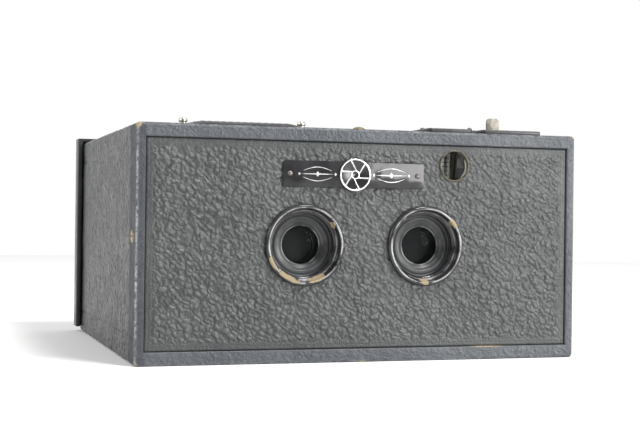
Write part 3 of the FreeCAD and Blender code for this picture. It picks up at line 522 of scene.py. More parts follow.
def metal(name, bright, dull, low_rough, high_rough, brush=(1, 1, 1), spots=0.0):
    """Plated or plain metal with tarnish, fine brushing and handling."""
    look = Finish(name, low_rough, 1.0)
    tarnish = look.patches(0.38, 0.68, 2.6, 6, 0.62, 0.4)
    tone = look.mix(tarnish, bright, dull)
    pits = look.patches(0.66, 0.74, 0.45, 3, 0.7)
    tone = look.mix(look.times(pits, spots), tone, tuple(c * 0.25 for c in dull))
    lines = look.noise(0.10, 3, 0.6, place=look.stretched(brush))
    look.bump(lines, 0.22, 0.012)
    look.bump(look.noise(1.1, 3), 0.15, 0.03)
    return look.done(tone, look.span(tarnish, 0.0, 1.0, low_rough, high_rough))


def fibrous(name, dark, light, feature, stretch, roughness, depth=0.05):
    """Board, card, felt or wood: fibres that run one way, and blotches."""
    look = Finish(name, roughness, 0.0, 0.25)
    fibres = look.noise(feature, 6, 0.7, 0.3, look.stretched(stretch))
    blotch = look.noise(14, 4)
    tone = look.mix(look.span(fibres, 0.3, 0.7), dark, light)
    blotches = look.times(look.span(blotch, 0.45, 0.8), 0.4)
    tone = look.mix(blotches, tone, tuple(c * 0.6 for c in dark))
    look.bump(fibres, 0.5, depth)
    return look.done(tone)


def clear_glass(name, tint, specular, ior):
    """Polished glass with a faint uneven haze."""
    look = Finish(name, 0.0, 0.0, specular)
    look.shader.inputs["Transmission Weight"].default_value = 1.0
    look.shader.inputs["IOR"].default_value = ior
    haze = look.span(look.noise(2.2, 5, 0.7), 0.5, 0.85, 0.0, 0.10)
    look.bump(look.noise(5, 2), 0.02, 0.01)
    return look.done(tint, haze)


def ground_glass():
    """Frosted screen ruled with a fine grid for levelling the view."""
    look = Finish("frosted_screen", 0.5, 0.0, 0.4)
    look.shader.inputs["Transmission Weight"].default_value = 0.80
    look.shader.inputs["IOR"].default_value = 1.25
    split = look.node("ShaderNodeSeparateXYZ")
    look.wire(look.place, split.inputs[0])
    ruled = None
    for axis in ("X", "Y"):
        step = look.sum("PINGPONG", split.outputs[axis], 0.65 * MM)
        line = look.span(step, 0.08 * MM, 0.17 * MM, 1.0, 0.0)
        ruled = line if ruled is None else look.sum("MAXIMUM", ruled, line)
    tone = look.mix(ruled, (0.93, 0.94, 0.93), (0.10, 0.10, 0.10))
    look.bump(look.noise(0.06, 2), 0.6, 0.02)
    return look.done(tone)


def silvered():
    """A mirror with foxed spots."""
    look = Finish("silvered_glass", 0.05, 1.0)
    foxing = look.patches(0.60, 0.74, 1.5, 6, 0.7)
    look.bump(look.noise(4, 3), 0.05, 0.02)
    return look.done(look.mix(foxing, (0.86, 0.87, 0.86), (0.30, 0.27, 0.22)),
                     look.span(foxing, 0, 1, 0.04, 0.4))


def ruby():
    """Red celluloid for the frame-counting window."""
    look = Finish("ruby_celluloid", 0.14, 0.0, 0.5)
    look.shader.inputs["Transmission Weight"].default_value = 0.35
    look.bump(look.noise(2.5, 3), 0.15, 0.03)
    return look.done(look.mix(look.noise(3, 4), (0.30, 0.006, 0.008), (0.62, 0.03, 0.02)),
                     look.span(look.noise(1.2, 4), 0.3, 0.8, 0.1, 0.3))


def strap_leather():
    """Black hide with pores, rubbed to grey."""
    look = Finish("strap_hide", 0.42, 0.0, 0.45)
    pores = look.cells(0.55)
    drift = look.noise(9, 5)
    tone = look.mix(look.span(drift, 0.3, 0.7), (0.045, 0.048, 0.050), (0.080, 0.084, 0.086))
    rubbed_and_highlight = look.times(look.painted("wear_and_highlight"), look.patches(0.38, 0.62, 1.1, 5, 0.7))
    tone = look.mix(rubbed_and_highlight, tone, (0.135, 0.13, 0.125))
    look.bump(pores, 0.4, 0.05)
    look.bump(look.noise(0.2, 4, 0.6), 0.4, 0.03)
    return look.done(tone, look.span(drift, 0.2, 0.8, 0.35, 0.55))


PEBBLED = leatherette("pebbled_leatherette", (0.023, 0.025, 0.026), (0.040, 0.042, 0.042),
                      (0.170, 0.175, 0.170), 0.36)
SMOOTH = leatherette("smooth_leatherette", (0.036, 0.041, 0.048), (0.056, 0.062, 0.070),
                     (0.200, 0.205, 0.210), 0.40)
ENAMEL = enamel("gloss_enamel", (0.009, 0.009, 0.010), 0.09, 0.22)
PLATE_ENAMEL = enamel("plate_enamel", (0.014, 0.014, 0.015), 0.08, 0.14, 1.1, 0.26)
LACQUER = enamel("satin_lacquer", (0.010, 0.011, 0.012), 0.30, 0.46)
NICKEL = metal("worn_nickel", (0.66, 0.64, 0.58), (0.47, 0.44, 0.39), 0.24, 0.38, (1, 6, 1), 0.3)
LEVER_PLATING = metal("yellowed_nickel", (0.27, 0.255, 0.225), (0.19, 0.18, 0.155), 0.60, 0.74,
                      (1, 6, 1), 0.3)
RIVET = metal("dulled_rivet", (0.20, 0.18, 0.17), (0.09, 0.085, 0.08), 0.30, 0.50, spots=0.5)
STEEL = metal("plain_steel", (0.46, 0.46, 0.46), (0.34, 0.33, 0.32), 0.28, 0.42, (8, 1, 1), 0.3)
BRASS = metal("aged_brass", (0.40, 0.33, 0.18), (0.16, 0.125, 0.07), 0.30, 0.55, spots=0.7)
DARK_BRASS = metal("blackened_brass", (0.11, 0.10, 0.075), (0.05, 0.047, 0.038), 0.42, 0.62, spots=0.6)
BLACKED = fibrous("matt_black_coat", (0.022, 0.022, 0.022), (0.034, 0.034, 0.034), 0.3, (1, 1, 1), 0.7, 0.02)
SILVER = metal("silver_line", (0.88, 0.88, 0.86), (0.66, 0.65, 0.62), 0.22, 0.35, spots=0.1)
BOARD = fibrous("grey_board", (0.085, 0.074, 0.060), (0.16, 0.14, 0.112), 0.5, (1, 0.3, 1), 0.9)
WOOD = fibrous("plain_wood", (0.30, 0.19, 0.10), (0.50, 0.35, 0.20), 0.9, (1, 1, 0.08), 0.6)
CARD = fibrous("matt_black_card", (0.010, 0.010, 0.010), (0.024, 0.024, 0.024), 0.4, (1, 0.5, 1), 0.85)
FELT = fibrous("black_felt", (0.008, 0.008, 0.008), (0.030, 0.029, 0.028), 0.25, (1, 1, 1), 0.95, 0.12)
GLASS = clear_glass("lens_glass", (0.80, 0.84, 0.85), 0.0, 1.06)
FINDER_GLASS = clear_glass("finder_glass", (0.97, 0.97, 0.94), 0.5, 1.12)
SCREEN = ground_glass()
MIRROR = silvered()
RUBY = ruby()
STRAP = strap_leather()
THREAD = fibrous("waxed_thread", (0.05, 0.045, 0.04), (0.12, 0.11, 0.10), 0.15, (1, 1, 1), 0.6)

SLOT_LOOKS = {
    "case_board": BOARD, "leatherette": PEBBLED, "black_card": CARD, "wood": WOOD, "black_enamel": ENAMEL,
    "black_lacquer": LACQUER, "brass": BRASS, "nickel": NICKEL, "steel": STEEL, "glass": GLASS,
    "ground_glass": SCREEN, "mirror": MIRROR, "strap_leather": STRAP, "ruby": RUBY, "felt": FELT,
}
node_slots = {row["node"]: row["material_slot"] for row in frame["record"]["subparts"]}
for label, item in frame["nodes"].items():
    item.data.materials.clear()
    item.data.materials.append(SLOT_LOOKS[node_slots[label]])
frame["nodes"]["finder_lens"].data.materials[0] = FINDER_GLASS
for label in ("left_shutter_blade", "right_shutter_blade", "stop_plate", "shutter_plate"):
    frame["nodes"][label].data.materials[0] = BLACKED


# ---------------------------------------------------------------- Covered case

case_low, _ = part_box("front_rim")
_, case_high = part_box("top_covering")
front_y = case_low.y
rear_y = case_high.y
HALF = case_high.x
TOP = case_high.z
lens_x = middle(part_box("right_lens_bezel")).x
lens_z = middle(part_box("right_lens_bezel")).z
SEAM = front_y + 12.6 * MM
SKIN = 0.5 * MM
ROLL_DEPTH, ROLL_WIDTH = 0.28 * MM, 0.55 * MM
# In millimetres: the spacing of a covering's points, and the radii of the holes through the coverings.
STEP, FRONT_STEP = 0.42, 0.31
LENS_HOLE, FINDER_HOLE, WINDOW_HOLE, KEY_HOLE = 12.7, 5.1, 6.1, 5.0


def covering(name, node, path, normals, direction, length, shape, cutters=(), step=STEP):
    """Embossed cloth swept along a direction: a closed skin with a grained face and rolled edges.

    shape(points) gives how strong the grain is and how much deeper the face lies, for each point.
    """
    path, normals = np.array(path, float), np.array(normals, float)
    direction = np.array(direction, float)
    rows = max(2, int(length / (step * MM)))
    along = np.linspace(0, length, rows + 1)
    lengths = np.r_[0, np.cumsum(np.linalg.norm(np.diff(path, axis=0), axis=1))]
    count_s, count_t = len(path), rows + 1
    face = (path[:, None] + direction * along[None, :, None]).reshape(-1, 3)
    outward = np.repeat(normals, count_t, axis=0)
    strength, extra = shape(face)
    edge = np.minimum(np.minimum(lengths, lengths[-1] - lengths)[:, None],
                      np.minimum(along, length - along)[None, :]).ravel()
    roll = ROLL_DEPTH * np.clip(1 - edge / ROLL_WIDTH, 0, 1) ** 2
    height = grain(face)
    depth = GRAIN_DEPTH * strength * (1 - height) + extra + roll
    outer = face - outward * np.minimum(depth, SKIN * 0.8)[:, None]
    back = [path - normals * SKIN, path - normals * SKIN + direction * length]
    inner = np.stack(back, axis=1).reshape(-1, 3)
    start = len(outer)
    last_s, last_t = count_s - 1, count_t - 1

    def o(i, j):
        return i * count_t + j

    def n(i, j):
        return start + i * 2 + j

    faces = [(o(i, j), o(i + 1, j), o(i + 1, j + 1), o(i, j + 1))
             for i in range(last_s) for j in range(last_t)]
    for i in range(last_s):
        faces.append((o(i + 1, 0), o(i, 0), n(i, 0), n(i + 1, 0)))
        faces.append((o(i, last_t), o(i + 1, last_t), n(i + 1, 1), n(i, 1)))
        faces.append((n(i, 0), n(i, 1), n(i + 1, 1), n(i + 1, 0)))
    faces.append((*[o(0, j) for j in range(count_t)], n(0, 1), n(0, 0)))
    faces.append((*[o(last_s, j) for j in range(last_t, -1, -1)], n(last_s, 0), n(last_s, 1)))
    piece = link_mesh(name, np.concatenate([outer, inner]), faces, 60)
    work = bmesh.new()
    work.from_mesh(piece.data)
    if work.calc_volume(signed=True) < 0:
        bmesh.ops.reverse_faces(work, faces=work.faces)
    work.to_mesh(piece.data)
    work.free()
    if cutters:
        carved(piece, cutters)
        smooth(piece, 60)
    points = coordinates(piece)
    strength, _ = shape(points)
    paint(piece, "crest", grain(points) * strength)
    if shape is plain_grain:
        paint(piece, "band_and_painted_shade", np.clip((SEAM - points[:, 1]) / (0.8 * MM), 0, 1))
    paint_edges(piece, points)
    return put(piece, node, PEBBLED)


def paint_edges(piece, points):
    """Scuffs along the case's edges, with a stronger pale line down the left front corner that is partly wear
    and partly a painted highlight, and the torn places at its corners.
    """
    x = HALF - np.abs(points[:, 0])
    z = np.minimum(points[:, 2], TOP - points[:, 2])
    y = points[:, 1] - front_y
    rear = np.abs(rear_y - points[:, 1])
    near_x, near_z, near_y, near_rear = (fade(value, 1.1 * MM) for value in (x, z, y, rear))
    long_edge = np.maximum.reduce([near_x * near_z, near_x * near_y, near_z * near_y, near_rear * near_x])
    patchy = 0.45 + 0.55 * smooth_noise(points, 6 * MM, 1)
    # Left front corner only: a pale line that is partly wear, partly painted highlight.
    front_corner_wear_and_highlight = near_x * near_y * (points[:, 0] < 0)
    paint(piece, "wear_and_highlight", np.maximum(0.6 * long_edge, 1.6 * front_corner_wear_and_highlight) * patchy)
    corner = (fade(x, 3.4 * MM) * fade(z, 3.4 * MM) * fade(y, 3.4 * MM))
    favourite = np.where((points[:, 0] < 0) & (points[:, 2] > TOP / 2), 1.4, 0.8)
    splinter = fade(points[:, 0] - 45 * MM, 16 * MM) * fade(points[:, 2] - 4.6 * MM, 0.7 * MM)
    foot = fade(points[:, 0] + 1.4 * MM, 4 * MM) * fade(points[:, 2], 1.4 * MM) * fade(y, 4 * MM)
    screw = fade(np.abs(points[:, 0] + HALF), 1 * MM) * fade(points[:, 2] - 42 * MM, 4 * MM)
    screw = screw * fade(y - 6 * MM, 5 * MM)
    paint(piece, "core", corner * favourite + splinter * (y < 3 * MM) * 0.8 + foot + screw * 0.75)


def plain_grain(points):
    """Full grain, but smoother over the front section, which ends at a seam."""
    y = points[:, 1]
    ahead = np.clip((SEAM - y) / (0.6 * MM), 0, 1)
    groove = 0.13 * MM * fade(y - SEAM, 0.32 * MM)
    return 0.85 - 0.5 * ahead, groove


def front_grain(points):
    """A ruled smooth margin inside the rim, and grain over the rest."""
    low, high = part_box("front_covering")
    border = np.minimum(np.minimum(points[:, 0] - low.x, high.x - points[:, 0]),
                        np.minimum(points[:, 2] - low.z, high.z - points[:, 2]))
    inside = np.clip((border - 2.5 * MM) / (1.2 * MM), 0, 1)
    ribs = 0.035 * MM * (1 - inside) * (0.5 + 0.5 * np.cos(border / (0.42 * MM) * 2 * math.pi))
    return 0.12 + 0.88 * inside, ribs


def straight(start, end, step=STEP):
    """Even points from start to end, about a step apart."""
    start, end = np.array(start, float), np.array(end, float)
    count = max(2, int(np.linalg.norm(end - start) / (step * MM)))
    return [start + (end - start) * i / count for i in range(count + 1)]


def strip_path(z_edge, z_face, outward):
    """Up one side, round the long corner, across and down the other side, with the face's normals."""
    radius = 1.2 * MM
    y = front_y + 2 * MM
    path, normals = [], []

    def run(points, normal):
        for point in points:
            path.append(point)
            normals.append(normal)

    run(straight((-HALF, y, z_edge), (-HALF, y, z_face - outward * radius)), (-1, 0, 0))
    for side in (LEFT, RIGHT):
        turns = range(1, 6) if side < 0 else range(5, 0, -1)
        for turn in turns:
            angle = turn / 6 * math.pi / 2
            normal = np.array((side * math.cos(angle), 0, outward * math.sin(angle)))
            centre = np.array((side * (HALF - radius), y, z_face - outward * radius))
            path.append(centre + normal * radius)
            normals.append(normal)
        if side < 0:
            run(straight((-HALF + radius, y, z_face), (HALF - radius, y, z_face)), (0, 0, outward))
    run(straight((HALF, y, z_face - outward * radius), (HALF, y, z_edge)), (1, 0, 0))
    return path, normals


def rod_cutter(centre, radius, axis, reach=6.0):
    """A round cutter through a surface; radius and reach in millimetres."""
    outline = [(0, -reach), (radius, -reach), (radius, reach), (0, reach)]
    return lathe("cutter", outline, centre, axis, 96)


def covered_case():
    """The coverings, cut where the finder, lever, key, hinge, lenses and window come through."""
    lever_at, key_at = joints["lever_swing"]["pos_m"], joints["key_turn"]["pos_m"]
    screen_low, screen_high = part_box("finder_screen")
    spread = Vector((0.1, 0.1, 0)) * MM
    lever_half = Vector((9.2, 1.2, 0)) * MM
    tall = Vector((0, 0, 5 * MM))
    slot_middle = Vector((lever_at[0], lever_at[1], TOP))
    cutters = [
        block(screen_low - spread - tall, screen_high + spread + tall, "cutter"),
        block(slot_middle - lever_half - tall, slot_middle + lever_half + tall, "cutter"),
        rod_cutter((key_at[0], key_at[1], TOP), KEY_HOLE, (0, 0, 1)),
    ]
    length = rear_y - front_y - 2 * MM
    turn_low, turn_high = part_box("side_coverings")[0].z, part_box("side_coverings")[1].z
    path, normals = strip_path(turn_high, TOP, 1)
    covering("top_leatherette", "top_covering", path, normals, (0, 1, 0), length, plain_grain, cutters)

    leaf_low, leaf_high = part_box("case_hinge_leaf")
    recess = [block((leaf_low.x - 0.5 * MM, leaf_low.y, -2 * MM),
                    (leaf_high.x + 0.5 * MM, rear_y + MM, 2 * MM), "cutter")]
    path, normals = strip_path(turn_low, 0.0, -1)
    covering("bottom_leatherette", "bottom_covering", path, normals, (0, 1, 0), length, plain_grain, recess)

    for side, label in ((LEFT, "left"), (RIGHT, "right")):
        path = straight((side * HALF, front_y + 2 * MM, turn_low), (side * HALF, front_y + 2 * MM, turn_high))
        covering(label + "_side_leatherette", "side_coverings", path, [(side, 0, 0)] * len(path),
                 (0, 1, 0), length, plain_grain)

    low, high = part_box("front_covering")
    gap = 0.05 * MM
    path = straight((low.x + gap, low.y, low.z + gap), (high.x - gap, low.y, low.z + gap), FRONT_STEP)
    holes = [rod_cutter((side * lens_x, low.y, lens_z), LENS_HOLE, (0, 1, 0)) for side in (LEFT, RIGHT)]
    finder_at = middle(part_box("finder_lens"))
    holes.append(rod_cutter((finder_at.x, low.y, finder_at.z), FINDER_HOLE, (0, 1, 0)))
    covering("front_leatherette", "front_covering", path, [(0, -1, 0)] * len(path), (0, 0, 1),
             high.z - low.z - 2 * gap, front_grain, holes, FRONT_STEP)

    low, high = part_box("door_covering")
    path = straight((low.x, high.y, low.z), (high.x, high.y, low.z))
    pane = middle(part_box("red_window"))
    covering("door_leatherette", "door_covering", path, [(0, 1, 0)] * len(path), (0, 0, 1), high.z - low.z,
             lambda points: (np.full(len(points), 0.85), np.zeros(len(points))),
             [rod_cutter((pane.x, high.y, pane.z), WINDOW_HOLE, (0, 1, 0))])


def rim():
    """The covered frame round the front: a soft-cornered band swept round the rectangle."""
    low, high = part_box("front_rim")
    panel_low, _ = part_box("front_covering")
    width_x = panel_low.x - low.x
    width_z = panel_low.z - low.z
    outer, inner, sink = 1.15 * MM, 0.45 * MM, 0.06 * MM
    section = [(0.0, 0.0, high.y - low.y)]
    for step in range(9):
        angle = step / 8 * math.pi / 2
        section.append((outer * (1 - math.cos(angle)),) * 2 + (outer * (1 - math.sin(angle)),))
    for step in range(1, 12):
        share = step / 12
        crown = 0.05 * MM * math.sin(share * math.pi)
        section.append((outer + (width_x - inner - outer) * share, outer + (width_z - inner - outer) * share,
                        sink - crown))
    for step in range(9):
        angle = step / 8 * math.pi / 2
        section.append((width_x - inner + inner * math.sin(angle), width_z - inner + inner * math.sin(angle),
                        sink + inner * (1 - math.cos(angle))))
    section.append((width_x, width_z, high.y - low.y))
    per_x, per_z, arc = 300, 150, 6
    rings = []
    for inset_x, inset_z, depth in section:
        corner = max(1.2 * MM - max(inset_x, inset_z) * 0.35, 0.15 * MM)
        far_x, far_z = high.x - inset_x, (high.z - low.z) / 2 - inset_z
        ring = []
        for quarter, (sign_x, sign_z) in enumerate(((1, -1), (1, 1), (-1, 1), (-1, -1))):
            centre = np.array((sign_x * (far_x - corner), sign_z * (far_z - corner)))
            first = quarter * math.pi / 2 - math.pi / 2
            for step in range(arc + 1):
                angle = first + step / arc * math.pi / 2
                ring.append(centre + corner * np.array((math.cos(angle), math.sin(angle))))
            following = ((1, 1), (-1, 1), (-1, -1), (1, -1))[quarter]
            count = per_z if quarter % 2 == 0 else per_x
            begin = ring[-1]
            angle = first + math.pi / 2
            stop = (np.array((following[0] * (far_x - corner), following[1] * (far_z - corner)))
                    + corner * np.array((math.cos(angle), math.sin(angle))))
            ring += [begin + (stop - begin) * step / count for step in range(1, count)]
        ring = np.array(ring)
        rings.append(np.c_[ring[:, 0], np.full(len(ring), low.y + depth), ring[:, 1] + (high.z + low.z) / 2])
    vertices = np.concatenate(rings)
    facing = np.clip(1 - (vertices[:, 1] - low.y) / (1.2 * MM), 0, 1)
    dents = (1 - grain(vertices)) * 0.06 * MM + smooth_noise(vertices, 9 * MM, 2) * 0.05 * MM
    moved = vertices + np.c_[np.zeros(len(vertices)), dents * facing, np.zeros(len(vertices))]
    piece = mended("rim_leatherette", moved, ring_faces(len(rings), len(rings[0])), 60)
    points = coordinates(piece)
    paint(piece, "crest", grain(points) * 0.40)
    # The left bar is painted darker, like the sides' front band; the upward-facing top edge is painted darker
    # as painted shade.
    left_bar = np.clip((low.x + 3.6 * MM - points[:, 0]) / (0.5 * MM), 0, 1)
    painted_top_shade = np.clip((points[:, 2] - high.z + 0.9 * MM) / (0.4 * MM), 0, 1)
    paint(piece, "band_and_painted_shade", np.maximum(0.75 * left_bar, painted_top_shade))
    paint_edges(piece, points)
    return put(piece, "front_rim", SMOOTH)


covered_case()
rim()


# ---------------------------------------------------------------- Lens rings

def ring_chips(piece, centre, spots):
    """Marks where the black is chipped or rubbed from a ring, and pale lines on its lip edges that are partly
    wear and partly painted highlight.

    Each spot is (degrees anticlockwise from the right, its width, inner radius, outer radius).
    """
    points = coordinates(piece)
    away = points - np.array(centre)
    angle = np.degrees(np.arctan2(away[:, 2], away[:, 0]))
    reach = np.hypot(away[:, 0], away[:, 2])
    chips = np.zeros(len(points))
    for degrees, width, inner, outer in spots:
        turn = np.abs((angle - degrees + 180) % 360 - 180)
        band_and_painted_shade = np.clip((reach / MM - inner) / 0.5, 0, 1) * np.clip((outer - reach / MM) / 0.5, 0, 1)
        chips = np.maximum(chips, fade(turn, width) ** 0.6 * band_and_painted_shade)
    paint(piece, "core", chips)
    # Thin pale lines on the outer and inner lip edges: partly wear, partly painted highlight.
    lip_wear_and_highlight = fade(reach - 12.72 * MM, 0.24 * MM) + 0.8 * fade(reach - 11.5 * MM, 0.16 * MM)
    paint(piece, "wear_and_highlight", lip_wear_and_highlight * (points[:, 1] < front_y + 2.2 * MM))


def lens_rings():
    """The bezels and stepped mounts, turned from (radius, depth) outlines in millimetres."""
    chips = {
        "left": [(-118, 36, 10.9, 13.6), (-70, 26, 10.9, 13.2), (-152, 20, 11.5, 13.9), (35, 12, 11.2, 13.0)],
        "right": [(38, 13, 11.6, 13.9), (-92, 13, 11.0, 13.7), (128, 6, 11.0, 12.4)],
    }
    bezel = [
        (12.30, -0.50), (12.75, -0.60), (13.25, -0.52), (13.62, -0.20), (13.80, 0.25), (13.80, 0.66),
        (12.6, 0.68), (12.6, 4.9), (10.7, 4.9), (10.72, 4.3), (10.86, 4.2), (10.86, 3.5), (10.72, 3.4),
        (10.72, 2.5), (10.95, 2.35), (11.35, 2.2), (11.45, 1.95), (11.45, 1.55), (11.6, 1.4),
        (11.95, 1.25), (12.05, 1.0), (12.05, 0.5), (12.12, 0.1),
    ]
    cone = [
        (10.60, 4.92), (12.40, 4.92), (12.40, 6.4), (9.20, 6.4), (9.20, 10.2), (7.60, 10.2), (7.60, 7.0),
        (6.60, 7.0), (6.48, 6.35), (6.62, 6.18), (6.95, 6.12), (7.05, 5.95), (7.60, 5.72), (7.72, 5.55),
        (8.30, 5.34), (8.60, 5.30), (8.66, 5.12), (8.95, 4.98), (9.75, 4.96), (9.82, 5.08), (10.3, 5.08),
        (10.38, 4.96),
    ]
    for label, side in (("left", LEFT), ("right", RIGHT)):
        centre = (side * lens_x, front_y, lens_z)
        ring = lathe(label + "_bezel_ring", eased(bezel, 0.09, 2), centre, (0, 1, 0), 192)
        ring_chips(ring, centre, chips[label])
        put(ring, label + "_lens_bezel", ENAMEL)
        mount = lathe(label + "_mount_ring", eased(cone, 0.07, 2), centre, (0, 1, 0), 192)
        points = coordinates(mount)
        reach = np.hypot(points[:, 0] - centre[0], points[:, 2] - centre[2])
        # Pale lines at the hole's edge and the steps: partly wear, partly painted highlight.
        rings = 0.7 * fade(reach - 6.62 * MM, 0.24 * MM) + 0.25 * fade(reach - 7.66 * MM, 0.2 * MM)
        paint(mount, "wear_and_highlight", rings + 0.2 * fade(reach - 8.8 * MM, 0.25 * MM))
        put(mount, label + "_lens_mount", LACQUER)


lens_rings()


# ---------------------------------------------------------------- Name plate without a name, and its disc

def on_plate(y):
    return lambda u, v, w: (u * MM, y - w * MM, v * MM)


def lozenge(centre_x, centre_z, half_x, half_z):
    return [(centre_x - half_x, centre_z), (centre_x, centre_z - half_z), (centre_x + half_x, centre_z),
            (centre_x, centre_z + half_z)]


def name_plate():
    """The blank plate with its line ornament, and the medallion with an iris for a motif."""
    low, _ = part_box("name_plate")
    eased_copy("name_plate", 0.12, PLATE_ENAMEL, "blank_name_plate")
    disc_low, disc_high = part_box("medallion")
    centre = middle((disc_low, disc_high))
    x, z = centre.x / MM, centre.z / MM
    place = on_plate(low.y)
    parts = []
    for side in (LEFT, RIGHT):
        parts.append(prism("line", lozenge(x + side * 13.2, z, 6.0, 0.26), 0.05, place))
        for reach, half in ((6.9, 0.55), (13.2, 0.95), (19.6, 0.55)):
            parts.append(prism("gem", lozenge(x + side * reach, z, half * 0.8, half), 0.07, place))
        for lift in (-1, 1):
            arc = []
            for step in range(13):
                t = step / 12
                arc.append((x + side * (8.2 + 10 * t), z + lift * (1.05 + 1.15 * math.sin(t * math.pi))))
            back = [(u, v + lift * (0.10 + 0.16 * math.sin(i / 12 * math.pi)))
                    for i, (u, v) in enumerate(arc)]
            parts.append(prism("arc", arc + back[::-1], 0.05, place))
    detail(joined("plate_ornament", parts), "nickel", SILVER, 30)

    face = (centre.x, disc_high.y, centre.z)
    thick = (disc_high.y - disc_low.y) / MM
    dish = eased([(0, 0), (5.55, 0), (5.6, thick - 0.24), (5.05, thick - 0.22), (4.9, thick - 0.38),
                  (0, thick - 0.34)], 0.05, 2)
    disc = lathe("medallion_disc", dish, face, (0, -1, 0), 128)
    put(disc, "medallion", ENAMEL)
    ring = [(4.98, thick - 0.36), (5.5, thick - 0.30), (5.5, thick - 0.04), (5.32, thick), (5.12, thick),
            (4.98, thick - 0.06)]
    hub = [(1.15, thick - 0.36), (1.5, thick - 0.36), (1.5, thick - 0.2), (1.15, thick - 0.2)]
    parts = [lathe("ring", eased(ring, 0.04, 2), face, (0, -1, 0), 128),
             lathe("hub", eased(hub, 0.03, 2), face, (0, -1, 0), 64)]
    blade_at = on_plate(disc_high.y - (thick - 0.36) * MM)
    for turn in range(6):
        angle = turn * math.pi / 3 + 0.2
        ends = []
        for reach, spin in ((1.35, 0.0), (5.05, 0.62)):
            ends.append((x + reach * math.cos(angle + spin), z + reach * math.sin(angle + spin)))
        (x0, z0), (x1, z1) = ends
        length = math.hypot(x1 - x0, z1 - z0)
        across = ((z0 - z1) / length * 0.17, (x1 - x0) / length * 0.17)
        outline = [(x0 + across[0], z0 + across[1]), (x0 - across[0], z0 - across[1]),
                   (x1 - across[0] * 1.6, z1 - across[1] * 1.6), (x1 + across[0] * 1.6, z1 + across[1] * 1.6)]
        parts.append(prism("blade", outline, 0.14, blade_at))
    motif = joined("medallion_motif", parts)
    smooth(motif, 35)
    put(motif, "medallion", SILVER)


name_plate()


# ---------------------------------------------------------------- Screws, rivets, studs and strap

def heads(name, node, material, head_for):
    """One turned head on each separate solid of a node of fasteners."""
    piece = joined(name, [head_for(span) for span in islands(node)])
    smooth(piece, 40)
    return put(piece, node, material)


def screw_head(span):
    """A slightly proud, domed, slotted head over a countersunk wood screw."""
    centre, size = middle(span), span[1] - span[0]
    long_axis = max(range(3), key=lambda axis: size[axis])
    sign = 1 if (centre[long_axis] > 0 if long_axis == 0 else centre.z > TOP / 2) else -1
    axis = Vector((0, 0, 0))
    axis[long_axis] = sign
    face = centre.copy()
    face[long_axis] = span[1][long_axis] if sign > 0 else span[0][long_axis]
    proud = 0.55
    if long_axis == 2:
        proud = 1.05 if sign > 0 else 0.0
    radius = min(size[(long_axis + 1) % 3], size[(long_axis + 2) % 3]) / 2 / MM
    shank, shank_radius, slot_half = size[long_axis] / MM, 1.1, 0.28
    turns = [step / 6 * math.pi / 2 for step in range(1, 7)]
    outline = [(0, proud)] + [(radius * math.sin(turn), proud * math.cos(turn)) for turn in turns]
    outline += [(radius, -0.3), (shank_radius, -1.4), (shank_radius, -shank + 1.1), (0, -shank)]
    head = lathe("screw", outline, face, axis, 48)
    half = Vector((slot_half, slot_half, slot_half)) * MM
    half[(long_axis + 1) % 3] = 3 * MM
    half[long_axis] = (proud + 0.5) * MM
    return carved(head, [block(face - half, face + half, "cutter")])


def rivet_head(span):
    """A domed rivet head with a rolled edge."""
    centre, size = middle(span), span[1] - span[0]
    forward = size.y > size.z
    axis = Vector((0, -1, 0)) if forward else Vector((0, 0, 1))
    top = span[0].y if forward else span[1].z
    face = Vector((centre.x, top, centre.z)) if forward else Vector((centre.x, centre.y, top))
    radius = (size.x / 2) / MM
    height = radius * 0.65
    outline = [(radius * math.sin(step / 7 * math.pi / 2), height * (math.cos(step / 7 * math.pi / 2) - 1))
               for step in range(8)]
    outline += [(radius, -height - 0.02), (radius / 2, -height - 0.02), (radius / 2, -height - 2.4),
                (0, -height - 2.4)]
    return lathe("rivet", outline, face, axis, 40)


def stud_head(span):
    """A strap stud: a washer, a neck and a round-edged head with a dimple."""
    centre = middle(span)
    low, high = span[0].z / MM, span[1].z / MM
    base = Vector((centre.x, centre.y, 0))
    outline = [(0, low), (3.0, low), (3.0, low + 0.5), (2.6, low + 0.8), (1.2, low + 1.0), (1.2, high - 1.7),
               (1.45, high - 1.6), (1.62, high - 1.2), (1.62, high - 0.75), (1.45, high - 0.25), (1.05, high),
               (0.75, high - 0.05), (0.5, high - 0.4), (0, high - 0.5)]
    return lathe("stud", outline, base, (0, 0, 1), 64)


